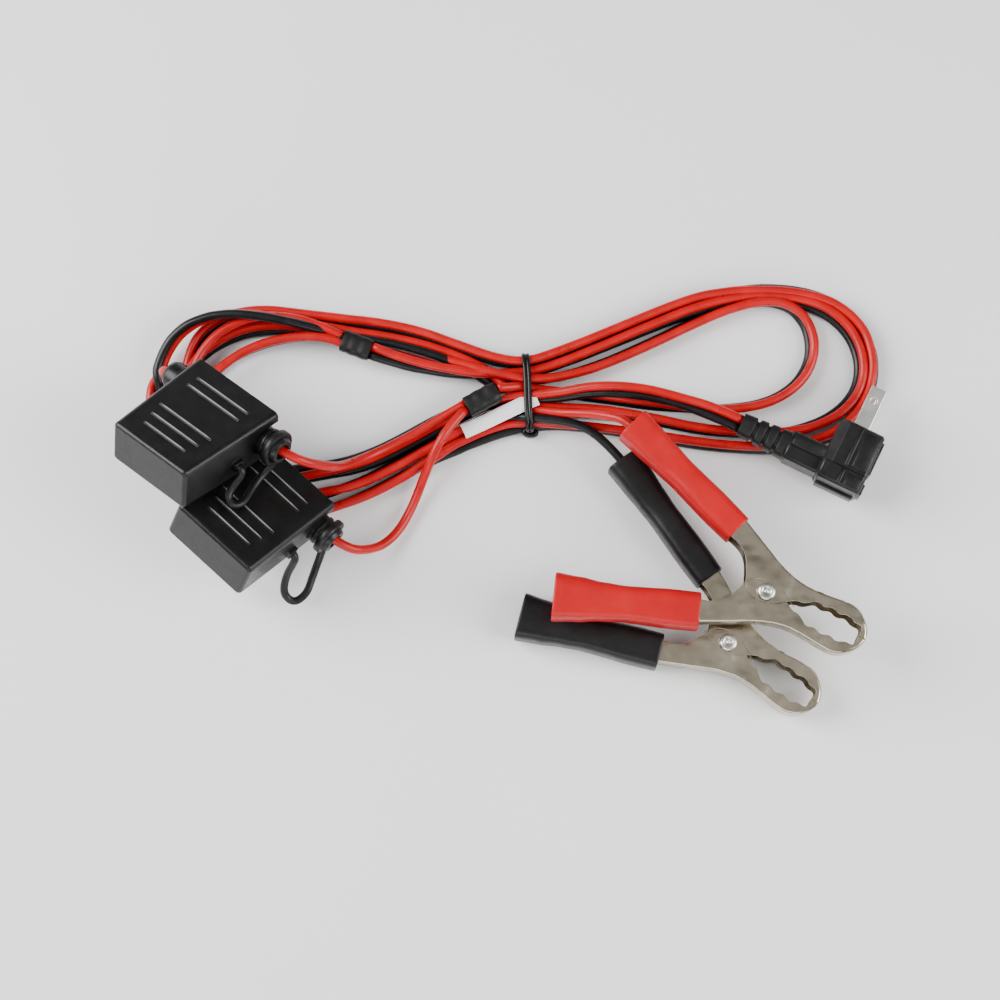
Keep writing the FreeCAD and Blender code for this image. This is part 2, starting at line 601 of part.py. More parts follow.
def wire_tie():
    """Two turns of covered wire round the neck, with the twisted ends tucked at the front."""
    y0, y1 = NECK_Y
    z0, z1 = NECK_Z
    frame = span(TIE_X - TIE_WIDTH / 2, TIE_X + TIE_WIDTH / 2, y0 - TIE_WIRE, y1 + TIE_WIRE,
                 z0 - TIE_WIRE, z1 + TIE_WIRE)
    inside = span(TIE_X - 9, TIE_X + 9, y0, y1, z0, z1)
    twist = rod((TIE_X - 1.4, y0 - 2.1, 3.4), (TIE_X + 4.0, y0 - 1.9, 3.2), 1.3)
    return frame.cut(inside).fuse(twist)


# ---------------------------------------------------------------- plug
def plug_blank(inset, bevel):
    """The plug's outside, or with an inset the room inside its shells."""
    x0, x1, half, z0, z1 = ARM
    arm = span(x0 + inset, x1 + 2, -half + inset, half - inset, z0 + inset, z1 - inset)
    hx0, hx1, hy0, hy1, hz0, hz1 = HEAD
    face = hy1 - (FACE_WALL if inset else 0)
    head = span(hx0 + inset, hx1 - inset, hy0 + inset, face, hz0 + inset, hz1 - inset)
    if bevel:
        arm = arm.makeChamfer(bevel, arm.Edges)
        head = head.makeChamfer(bevel, head.Edges)
    return arm.fuse(head).removeSplitter()


def plug_pins():
    """The flat and the upright blade, each with a hole near its tip and a tail inside."""
    face = HEAD[3]
    half, thick = PIN_WIDTH / 2, PIN_THICK / 2
    y0, y1 = face - PIN_IN, face + PIN_OUT
    flat = span(PIN_X - half, PIN_X + half, y0, y1, FLAT_PIN_Z - thick, FLAT_PIN_Z + thick)
    flat = flat.cut(rod((PIN_X, y1 - 4.6, 0), (PIN_X, y1 - 4.6, 40), 1.1))
    upright = span(PIN_X - thick, PIN_X + thick, y0, y1, UPRIGHT_PIN_Z - half, UPRIGHT_PIN_Z + half)
    upright = upright.cut(rod((0, y1 - 4.6, UPRIGHT_PIN_Z), (60, y1 - 4.6, UPRIGHT_PIN_Z), 1.1))
    return flat, upright


def plug_shells(pins, relief):
    """The front shell, which holds the blades, and the cover behind it."""
    casing = plug_blank(0, PLUG_BEVEL).cut(plug_blank(PLUG_WALL, 0))
    for cutter in (*pins, relief):
        casing = casing.cut(cutter)
    front = casing.common(span(-5, 60, 0, 60, 0, 60))
    cover = casing.common(span(-5, 60, -60, 0, 0, 60))
    return front, cover


def strain_relief():
    """The ribbed sleeve on the cable, with a flange that the shells hold."""
    end = -RELIEF_LENGTH
    sections = [rounded_section(RELIEF_TIP, RELIEF_TIP - 0.3, 2.4, end),
                rounded_section(RELIEF_ROOT, RELIEF_ROOT - 0.3, 2.4, -0.01)]
    sleeve = Part.makeLoft(sections, True, True)
    for x in (-11.6, -7.6, -3.6):
        groove = span(x, x + 1.5, -9, 9, -9, 9).cut(span(x, x + 1.5, -2.9, 2.9, -2.9, 2.9))
        sleeve = sleeve.cut(groove)
    flange = block((PLUG_WALL / 2 + 1.4, 0, 0), (PLUG_WALL + 1.2, 6.2, 5.6))
    sleeve = sleeve.fuse(flange).fuse(block((0.5, 0, 0), (2.6, 5.2, 4.6)))
    return placed(sleeve, Placement(Vector(0, 0, RELIEF_Z), Rotation()))


def make_plug():
    relief = strain_relief()
    pins = plug_pins()
    front, cover = plug_shells(pins, relief)
    nodes = {
        "plug_front_shell": front,
        "plug_rear_cover": cover,
        "plug_flat_blade": pins[0],
        "plug_upright_blade": pins[1],
        "plug_strain_relief": relief,
    }
    for name, shape in nodes.items():
        save(name, placed(shape, PLUG))


def plug_room():
    """The space above the folded cable that the plug and its strain relief take."""
    room = span(-RELIEF_LENGTH - 1, HEAD[1] + 1, -HEAD[1], 16, UNDER_PLUG, 30)
    room = room.common(span(-RELIEF_LENGTH - 1, 60, -6.6, 16, 0, 60))
    above_arm = span(-RELIEF_LENGTH - 2, HEAD[0] - 0.6, ARM[2] + 0.6, 40, 0, 60)
    pins = span(PIN_X - 3.4, PIN_X + 3.4, 0, HEAD[3] + PIN_OUT + 1, UPRIGHT_PIN_Z - 3.2, 30)
    return placed(room.cut(above_arm).fuse(pins), PLUG)


# ---------------------------------------------------------------- build
def make_cables():
    routes = {
        "fuse_lead_a_in": (neck_end(UPPER_HOLDER, -1), UPPER_IN_LEAD, WIRE),
        "fuse_lead_a_out": (neck_end(UPPER_HOLDER, 1), UPPER_OUT_LEAD, WIRE),
        "fuse_lead_b_in": (neck_end(LOWER_HOLDER, -1), LOWER_IN_LEAD, WIRE),
        "fuse_lead_b_out": (neck_end(LOWER_HOLDER, 1), LOWER_OUT_LEAD, WIRE),
        "red_clip_lead": (lead_end(RED_CLIP), RED_LEAD, WIRE),
        "black_clip_lead": (lead_end(BLACK_CLIP), BLACK_LEAD, WIRE),
        "plug_cable": (on_axis(PLUG, (-RELIEF_LENGTH, -RELIEF_LENGTH - 8.0), 0, RELIEF_Z), PLUG_CABLE, TWIN),
    }
    tubes = {name: tube(name, (*start, *rest), size) for name, (start, rest, size) in routes.items()}
    sleeves = {"splice_a": splice(SPLICE_A_SIZE, SPLICE_A), "splice_b": splice(SPLICE_B_SIZE, SPLICE_B)}
    label = placed(block((0, 0, 0), LABEL_SIZE), LABEL)
    tie = wire_tie()
    solid_sleeves = [placed(block((0, 0, 0), (length + 0.1, width + 0.1, 12)), place)
                     for (length, width, _), place in ((SPLICE_A_SIZE, SPLICE_A), (SPLICE_B_SIZE, SPLICE_B))]
    cutters = list(tubes.values()) + solid_sleeves
    cutters += [label, tie, holder_room(UPPER_HOLDER), holder_room(LOWER_HOLDER), plug_room()]
    save("folded_cable_left", folded_left(cutters))
    save("folded_cable_right", folded_right(cutters))
    for name, solid in tubes.items():
        save(name, solid)
    for name, (sleeve, crimps) in sleeves.items():
        for lead in tubes.values():
            sleeve = sleeve.cut(lead)
        save(f"{name}_sleeve", sleeve)
        save(f"{name}_crimps", crimps)
    save("wire_tie", tie)
    save("label", label)


os.makedirs("parts", exist_ok=True)
make_clip("red", RED_CLIP)
make_clip("black", BLACK_CLIP)
make_holder("fuse_a", UPPER_HOLDER, UPPER_TETHER)
make_holder("fuse_b", LOWER_HOLDER, LOWER_TETHER)
make_plug()
make_cables()
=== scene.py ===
import math

import bmesh
import bpy
from mathutils import Euler, Matrix, Vector


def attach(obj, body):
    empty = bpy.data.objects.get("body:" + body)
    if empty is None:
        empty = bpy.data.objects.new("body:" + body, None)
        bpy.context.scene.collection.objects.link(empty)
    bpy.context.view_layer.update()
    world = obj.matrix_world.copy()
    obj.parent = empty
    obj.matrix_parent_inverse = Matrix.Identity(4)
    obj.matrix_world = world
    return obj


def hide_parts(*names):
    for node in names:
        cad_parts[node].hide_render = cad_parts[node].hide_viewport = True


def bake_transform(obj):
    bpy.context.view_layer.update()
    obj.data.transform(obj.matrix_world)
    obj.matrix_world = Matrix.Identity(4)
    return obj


# The looks of a battery charging lead: cords first, then clips, fuse holders and plug.
# Places are given in the design's millimetres, and put() and the piece frames bring them
# into the frame's metres.

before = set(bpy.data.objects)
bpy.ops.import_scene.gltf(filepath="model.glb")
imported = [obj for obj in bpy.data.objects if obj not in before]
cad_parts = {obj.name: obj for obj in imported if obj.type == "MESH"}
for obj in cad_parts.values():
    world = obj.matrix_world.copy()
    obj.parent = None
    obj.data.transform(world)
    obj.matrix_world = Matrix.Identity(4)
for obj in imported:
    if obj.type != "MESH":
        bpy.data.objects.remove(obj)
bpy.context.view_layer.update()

MM = 0.001
ORIGIN_SHIFT = Vector((0.0, 1.0, 0.0))

# ---------------------------------------------------------------- sizes shared with the design
CONDUCTOR_RADIUS = 1.5
HANDLE_START = Vector((-16.0, 14.2, 0.0))
HANDLE_ANGLE = 20.0
GRIPS = {"fixed": (0.2, 47.3), "moving": (0.1, 45.9)}    # start on the handle and length
HANDLE_HALF = {"fixed": (3.5, 5.2), "moving": (3.5, 4.2)}
CRIMP_END = 40.0
LEAD_STRAIGHT = 9.6
LEAD_AXIS_Y = -5.0
TERMINAL_END, NECK_STRAIGHT = 15.8, 12.4
RELIEF_LENGTH, RELIEF_HEIGHT, RELIEF_RUN_IN, RELIEF_ROLL = 16.0, 11.8, 8.0, -60

# ---------------------------------------------------------------- frames of the pieces


def piece_frame(origin, yaw, pitch=0.0, roll=0.0):
    """From a piece's own millimetres to the frame's metres."""
    turn = (Matrix.Rotation(math.radians(yaw), 4, "Z") @ Matrix.Rotation(math.radians(pitch), 4, "Y")
            @ Matrix.Rotation(math.radians(roll), 4, "X"))
    return Matrix.Translation((Vector(origin) + ORIGIN_SHIFT) * MM) @ turn @ Matrix.Scale(MM, 4)


CLIPS = {
    "black": piece_frame((75.0, -33.7, 6.8), -34.5),
    "red": piece_frame((86.0, -19.5, 20.7), -26.0),
}
HOLDERS = {
    "a": piece_frame((-79.6, 39.5, 28.4), -37.7, -16.4, -30.2),
    "b": piece_frame((-64.1, 17.2, 14.2), -42.4, -0.7, -29.0),
}
SPLICES = {
    "a": (piece_frame((-43.2, 63.1, 8.6), -21.0), (9.6, 7.4, 5.4)),
    "b": (piece_frame((-2.7, 45.1, 9.4), 29.0), (11.2, 7.2, 5.4)),
}
PLUG = piece_frame((94.4, 29.5, 0.0), -26.0)
LABEL = piece_frame((3.0, 40.4, 7.6), 25.0)


def put(point):
    """A design point, in millimetres, as a place in the frame."""
    return (Vector(point[:3]) + ORIGIN_SHIFT) * MM


def along_handle(distance, across=0.0):
    """A point on a clip's fixed handle, in the clip's own frame."""
    turn = Matrix.Rotation(math.radians(180.0 - HANDLE_ANGLE), 4, "Z")
    return HANDLE_START + turn @ Vector((distance, across, 0.0))


# ---------------------------------------------------------------- materials


class Nodes:
    """A material's node tree with short ways to add to it."""

    def __init__(self, name):
        self.material = bpy.data.materials.new(name)
        self.material.use_nodes = True
        self.tree = self.material.node_tree
        self.shader = self.tree.nodes["Principled BSDF"]
        coordinates = self.tree.nodes.new("ShaderNodeTexCoord")
        self.place = coordinates.outputs["Object"]

    def add(self, kind):
        return self.tree.nodes.new(kind)

    def link(self, output, target):
        self.tree.links.new(output, target)

    def set(self, **values):
        for name, value in values.items():
            self.shader.inputs[name.replace("_", " ")].default_value = value

    def noise(self, scale, detail=3.0, stretch=(1.0, 1.0, 1.0)):
        """Noise with about `scale` features per metre, stretched along the axes."""
        mapping = self.add("ShaderNodeMapping")
        mapping.inputs["Scale"].default_value = stretch
        self.link(self.place, mapping.inputs["Vector"])
        texture = self.add("ShaderNodeTexNoise")
        texture.inputs["Scale"].default_value = scale
        texture.inputs["Detail"].default_value = detail
        self.link(mapping.outputs["Vector"], texture.inputs["Vector"])
        return texture.outputs["Fac"]

    def ramp(self, value, stops):
        """A colour ramp over a value: stops are (position, colour)."""
        node = self.add("ShaderNodeValToRGB")
        while len(node.color_ramp.elements) < len(stops):
            node.color_ramp.elements.new(0.5)
        for element, (position, colour) in zip(node.color_ramp.elements, stops):
            element.position = position
            element.color = (*colour, 1.0)
        self.link(value, node.inputs["Fac"])
        return node.outputs["Color"]

    def remap(self, value, low, high):
        """A value from 0.3 to 0.7 spread over low to high."""
        node = self.add("ShaderNodeMapRange")
        for name, number in (("From Min", 0.3), ("From Max", 0.7), ("To Min", low), ("To Max", high)):
            node.inputs[name].default_value = number
        self.link(value, node.inputs["Value"])
        return node.outputs["Result"]

    def bump(self, height, distance):
        """Adds a relief of that depth, in metres, on top of any that is there."""
        node = self.add("ShaderNodeBump")
        node.inputs["Distance"].default_value = distance
        node.inputs["Strength"].default_value = 1.0
        self.link(height, node.inputs["Height"])
        if self.shader.inputs["Normal"].is_linked:
            before = self.shader.inputs["Normal"].links[0].from_socket
            self.link(before, node.inputs["Normal"])
        self.link(node.outputs["Normal"], self.shader.inputs["Normal"])


def insulation(name, dark, light):
    """Glossy PVC insulation, extruded, with faint waves and dust-dulled patches."""
    n = Nodes(name)
    n.link(n.ramp(n.noise(140.0), ((0.35, dark), (0.65, light))), n.shader.inputs["Base Color"])
    n.link(n.remap(n.noise(420.0, 4.0), 0.26, 0.40), n.shader.inputs["Roughness"])
    n.bump(n.noise(260.0, 2.0), 0.00012)
    n.bump(n.noise(2600.0, 2.0), 0.00001)
    n.set(Specular_IOR_Level=0.35)
    return n.material


def dipped_vinyl(name, dark, light):
    """Soft vinyl dipped over a handle: a satin skin with a slow ripple and a fine grain."""
    n = Nodes(name)
    n.link(n.ramp(n.noise(90.0, 5.0), ((0.35, dark), (0.65, light))), n.shader.inputs["Base Color"])
    n.link(n.remap(n.noise(600.0, 5.0), 0.34, 0.46), n.shader.inputs["Roughness"])
    n.bump(n.noise(130.0, 2.0), 0.00025)
    n.bump(n.noise(3200.0, 3.0), 0.000012)
    n.set(Specular_IOR_Level=0.32)
    return n.material


def moulded_plastic(name, dark, light, roughness, grain):
    """Moulded black plastic with a spark-eroded grain."""
    n = Nodes(name)
    n.link(n.ramp(n.noise(220.0, 6.0), ((0.35, dark), (0.7, light))), n.shader.inputs["Base Color"])
    n.link(n.remap(n.noise(900.0, 4.0), roughness - 0.06, roughness + 0.07), n.shader.inputs["Roughness"])
    n.bump(n.noise(3600.0, 3.0), grain)
    n.bump(n.noise(120.0, 1.0), 0.00006)
    n.set(Specular_IOR_Level=0.35)
    return n.material


def plated_steel(name, dark, light, roughness, ripple):
    """Plated sheet steel: warm and bright, with cloudy patches, fine specks and a slight ripple."""
    n = Nodes(name)
    n.link(n.ramp(n.noise(120.0, 9.0), ((0.3, dark), (0.7, light))), n.shader.inputs["Base Color"])
    n.link(n.remap(n.noise(260.0, 6.0), roughness - 0.04, roughness + 0.06), n.shader.inputs["Roughness"])
    n.bump(n.noise(80.0, 2.0), ripple)
    n.bump(n.noise(2400.0, 4.0), 0.000006)
    n.set(Metallic=1.0)
    return n.material


def coloured_nylon(name, colour):
    """A blade fuse's tinted, slightly cloudy body."""
    n = Nodes(name)
    light = tuple(min(1.0, c * 1.25) for c in colour)
    n.link(n.ramp(n.noise(300.0), ((0.35, colour), (0.65, light))), n.shader.inputs["Base Color"])
    n.link(n.remap(n.noise(700.0), 0.12, 0.22), n.shader.inputs["Roughness"])
    n.set(Transmission_Weight=0.25)
    return n.material


def label_paper(name):
    """Blank coated label stock with faint fibres."""
    n = Nodes(name)
    stops = ((0.35, (0.78, 0.79, 0.80)), (0.65, (0.90, 0.90, 0.91)))
    n.link(n.ramp(n.noise(900.0, 8.0, (1.0, 4.0, 1.0)), stops), n.shader.inputs["Base Color"])
    n.link(n.remap(n.noise(500.0), 0.42, 0.55), n.shader.inputs["Roughness"])
    n.bump(n.noise(1800.0, 4.0), 0.00001)
    return n.material


MATERIALS = {
    "cable_red": insulation("cable_red", (0.40, 0.0006, 0.002), (0.50, 0.001, 0.003)),
    "cable_black": insulation("cable_black", (0.003, 0.003, 0.004), (0.007, 0.007, 0.008)),
    "red_grip": dipped_vinyl("red_grip", (0.40, 0.0006, 0.003), (0.47, 0.001, 0.004)),
    "black_grip": dipped_vinyl("black_grip", (0.003, 0.003, 0.003), (0.006, 0.006, 0.006)),
    "holder_plastic": moulded_plastic("holder_plastic", (0.003, 0.003, 0.003), (0.007, 0.007, 0.007),
                                      0.34, 0.000014),
    "tether_rubber": moulded_plastic("tether_rubber", (0.003, 0.003, 0.003), (0.007, 0.007, 0.007),
                                     0.40, 0.000010),
    "plug_plastic": moulded_plastic("plug_plastic", (0.004, 0.004, 0.004), (0.009, 0.009, 0.009),
                                    0.34, 0.000014),
    "relief_rubber": moulded_plastic("relief_rubber", (0.003, 0.003, 0.003), (0.006, 0.006, 0.006),
                                     0.44, 0.000012),
    "sleeve_rubber": moulded_plastic("sleeve_rubber", (0.003, 0.003, 0.003), (0.007, 0.007, 0.007),
                                     0.42, 0.000012),
    "tie_plastic": moulded_plastic("tie_plastic", (0.003, 0.003, 0.003), (0.005, 0.005, 0.005),
                                   0.28, 0.000004),
    "nickel_steel": plated_steel("nickel_steel", (0.40, 0.35, 0.26), (0.56, 0.50, 0.39), 0.22, 0.0015),
    "rivet_steel": plated_steel("rivet_steel", (0.55, 0.55, 0.54), (0.78, 0.78, 0.76), 0.30, 0.00008),
    "spring_steel": plated_steel("spring_steel", (0.30, 0.30, 0.31), (0.46, 0.46, 0.47), 0.34, 0.00003),
    "blade_metal": plated_steel("blade_metal", (0.74, 0.72, 0.67), (0.86, 0.84, 0.80), 0.30, 0.0003),
    "terminal_metal": plated_steel("terminal_metal", (0.60, 0.55, 0.42), (0.76, 0.70, 0.55), 0.30, 0.00005),
    "fuse_plastic": coloured_nylon("fuse_plastic", (0.75, 0.24, 0.03)),
    "label_paper": label_paper("label_paper"),
}

# a lighter grey plastic for thin rods along the cap's rib tops: a painted highlight standing in for the
# glints on the ribs
RIB_PAINTED_HIGHLIGHT = moulded_plastic("rib_painted_highlight", (0.16, 0.16, 0.16), (0.24, 0.24, 0.24), 0.30, 0.000006)

# ---------------------------------------------------------------- mesh tools


def piece(name, mesh, body, slot, replaced=(), sharp=35.0):
    """A finished mesh as a piece that rides on a body, if one is given, and stands for CAD nodes."""
    for polygon in mesh.polygons:
        polygon.use_smooth = True
    if sharp:
        mesh.set_sharp_from_angle(angle=math.radians(sharp))
    mesh.materials.clear()
    mesh.materials.append(MATERIALS[slot])
    obj = bpy.data.objects.new(name, mesh)
    bpy.context.collection.objects.link(obj)
    if body:
        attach(obj, body)
    if replaced:
        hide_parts(*replaced)
    return obj


def mesh_from(name, vertices, faces, matrix=None):
    mesh = bpy.data.meshes.new(name)
    mesh.from_pydata([tuple(v) for v in vertices], [], faces)
    if matrix:
        mesh.transform(matrix)
    mesh.validate()
    return mesh


def rings_mesh(name, rings, matrix=None, closed=False):
    """A skin over rings of equal count; open ends are filled."""
    count = len(rings[0])
    vertices = [v for ring in rings for v in ring]
    faces = []
    steps = len(rings) if closed else len(rings) - 1
    for i in range(steps):
        a, b = i * count, (i + 1) % len(rings) * count
        for j in range(count):
            k = (j + 1) % count
            faces.append((a + j, a + k, b + k, b + j))
    if not closed:
        faces.append(tuple(reversed(range(count))))
        faces.append(tuple(range((len(rings) - 1) * count, len(rings) * count)))
    return mesh_from(name, vertices, faces, matrix)


def merged(name, meshes, matrix=None):
    """Several meshes as one."""
    vertices, faces = [], []
    for mesh in meshes:
        start = len(vertices)
        vertices.extend(v.co.copy() for v in mesh.vertices)
        faces.extend(tuple(start + i for i in p.vertices) for p in mesh.polygons)
    return mesh_from(name, vertices, faces, matrix)


def tube_rings(path, radius, sides=12, closed=False, flat=1.0, ripple=None):
    """Rings of a tube along a path, carried without twist; flat squeezes it across its normal."""
    rings = []
    last = len(path) - 1
    normal = None
    for i, point in enumerate(path):
        before = path[i - 1] if closed else path[max(i - 1, 0)]
        after = path[(i + 1) % len(path)] if closed else path[min(i + 1, last)]
        tangent = (after - before).normalized()
        if normal is None:
            seed = Vector((0, 0, 1)) if abs(tangent.z) < 0.9 else Vector((0, 1, 0))
            normal = tangent.cross(seed).cross(tangent).normalized()
        else:
            normal = (normal - tangent * normal.dot(tangent)).normalized()
        side = tangent.cross(normal)
        size = radius if ripple is None else radius * ripple(i / last)
        ring = []
        for j in range(sides):
            angle = math.tau * j / sides
            ring.append(point + normal * math.cos(angle) * size * flat + side * math.sin(angle) * size)
        rings.append(ring)
    return rings


def oval(x, half_y, half_z, power, sides=40):
    """A rounded-square ring across the X axis."""
    ring = []
    for j in range(sides):
        angle = math.tau * j / sides
        c, s = math.cos(angle), math.sin(angle)
        y = math.copysign(abs(c) ** (2.0 / power), c) * half_y
        z = math.copysign(abs(s) ** (2.0 / power), s) * half_z
        ring.append(Vector((x, y, z)))
    return ring


def lathe(profile, sides=48):
    """Rings round the Z axis from (radius, height) pairs."""
    angles = [math.tau * j / sides for j in range(sides)]
    return [[Vector((radius * math.cos(angle), radius * math.sin(angle), height)) for angle in angles]
            for radius, height in profile]


def weighted(mesh):
    """The mesh with normals weighted by face area, so that flat faces stay flat."""
    obj = bpy.data.objects.new("weighting", mesh)
    bpy.context.collection.objects.link(obj)
    modifier = obj.modifiers.new("weights", "WEIGHTED_NORMAL")
    modifier.keep_sharp = True
    modifier.weight = 100
    shapes = bpy.context.evaluated_depsgraph_get()
    result = bpy.data.meshes.new_from_object(obj.evaluated_get(shapes), depsgraph=shapes)
    bpy.data.objects.remove(obj)
    return result


WELD, FLAT_ANGLE, SHARP_ANGLE = 0.000002, 1.0, 42.0


def sharp_edge(edge):
    """Picks the edges that an ordinary moulded or stamped piece has rounded."""
    return edge.calc_face_angle(0.0) > math.radians(SHARP_ANGLE)


def refined(node, name, body, slot, width, segments=2, picked=sharp_edge, cut=None):
    """The CAD piece's own shape with the picked edges rounded to that width, in metres."""
    mesh = bpy.data.meshes.new(name)
    bm = bmesh.new()
    bm.from_mesh(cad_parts[node].data)
    bmesh.ops.remove_doubles(bm, verts=bm.verts, dist=WELD)
    bmesh.ops.recalc_face_normals(bm, faces=bm.faces)
    bmesh.ops.dissolve_limit(bm, angle_limit=math.radians(FLAT_ANGLE), verts=bm.verts, edges=bm.edges)
    if cut:
        cut(bm)
    edges = [e for e in bm.edges if len(e.link_faces) == 2 and picked(e)]
    bmesh.ops.bevel(bm, geom=edges, offset=width, offset_type="OFFSET", segments=segments, profile=0.5,
                    affect="EDGES", clamp_overlap=False)
    bm.to_mesh(mesh)
    bm.free()
    mesh.validate()
    for polygon in mesh.polygons:
        polygon.use_smooth = True
    mesh.set_sharp_from_angle(angle=math.radians(50))
    return piece(name, weighted(mesh), body, slot, [node], sharp=None)


def finish_node(node, slot):
    """A CAD node that stays as it is, with its material."""
    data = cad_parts[node].data
    data.materials.clear()
    data.materials.append(MATERIALS[slot])


# ---------------------------------------------------------------- camera, floor and light
CAMERA_TARGET = (3.0, 14.0, 0.0)
CAMERA_DISTANCE, CAMERA_ELEVATION, LENS, SENSOR = 896.0, 80.0, 100.0, 36.0
# each lamp's place and size in metres, and its power in watts
LAMPS = {
    "key": ((-0.80, 0.22, 0.66), (0.7, 1.0), 22.0),
    "fill": ((0.82, -0.15, 0.60), (0.6, 0.9), 13.0),
    "front": ((-0.15, -0.85, 0.55), (1.0, 0.5), 6.0),
}
LAMP_TARGET = Vector((0.0, 0.02, 0.0))
FLOOR_HALF = 3.0


def build_camera():
    camera = bpy.data.cameras.new("camera")
    camera.lens = LENS
    camera.sensor_width = SENSOR
    obj = bpy.data.objects.new("camera", camera)
    elevation = math.radians(CAMERA_ELEVATION)
    back = Vector((0.0, -math.cos(elevation), math.sin(elevation))) * CAMERA_DISTANCE * MM
    obj.location = put(CAMERA_TARGET) + back
    obj.rotation_euler = Euler((math.radians(90.0 - CAMERA_ELEVATION), 0.0, 0.0))
    bpy.context.collection.objects.link(obj)
    bpy.context.scene.camera = obj


def build_lamps():
    """Soft rectangular lamps round the object, aimed at it."""
    for name, (place, size, power) in LAMPS.items():
        light = bpy.data.lights.new(name, "AREA")
        light.shape = "RECTANGLE"
        light.size, light.size_y = size
        light.energy = power
        obj = bpy.data.objects.new(name, light)
        obj.location = place
        obj.rotation_euler = (LAMP_TARGET - Vector(place)).to_track_quat("-Z", "Y").to_euler()
        bpy.context.collection.objects.link(obj)


def build_floor():
    """A pale, matt floor."""
    n = Nodes("floor")
    n.link(n.ramp(n.noise(6.0), ((0.3, (0.86, 0.86, 0.86)), (0.7, (0.90, 0.90, 0.90)))),
           n.shader.inputs["Base Color"])
    n.set(Roughness=0.7)
    corners = [(x * FLOOR_HALF, y * FLOOR_HALF, 0) for x, y in ((-1, -1), (1, -1), (1, 1), (-1, 1))]
    floor = mesh_from("floor", corners, [(0, 1, 2, 3)])
    floor.materials.append(n.material)
    obj = bpy.data.objects.new("floor", floor)
    bpy.context.collection.objects.link(obj)


def build_world():
    """A studio tent: dim low down, brighter overhead."""
    world = bpy.data.worlds.new("world")
    world.use_nodes = True
    tree = world.node_tree
    coordinates = tree.nodes.new("ShaderNodeTexCoord")
    split = tree.nodes.new("ShaderNodeSeparateXYZ")
    ramp = tree.nodes.new("ShaderNodeValToRGB")
    tree.links.new(coordinates.outputs["Generated"], split.inputs["Vector"])
    tree.links.new(split.outputs["Z"], ramp.inputs["Fac"])
    tree.links.new(ramp.outputs["Color"], tree.nodes["Background"].inputs["Color"])
    low, high = ramp.color_ramp.elements
    low.position, low.color = 0.88, (0.22, 0.22, 0.225, 1.0)
    high.position, high.color = 1.0, (0.62, 0.62, 0.61, 1.0)
    bpy.context.scene.world = world


build_camera()
build_floor()
build_lamps()
build_world()

# ---------------------------------------------------------------- cords
# Each route is a list of points (x, y, z, roll): roll turns the pair of conductors
# about their line, from the red above the black at 0 towards the red on the right at 90.
PLUG_CABLE = (
    (22.0, 46.8, 7.8, -25), (33.8, 48.2, 11.8, -35), (47.2, 47.2, 13.4, -38), (60.4, 44.2, 13.2, -30))

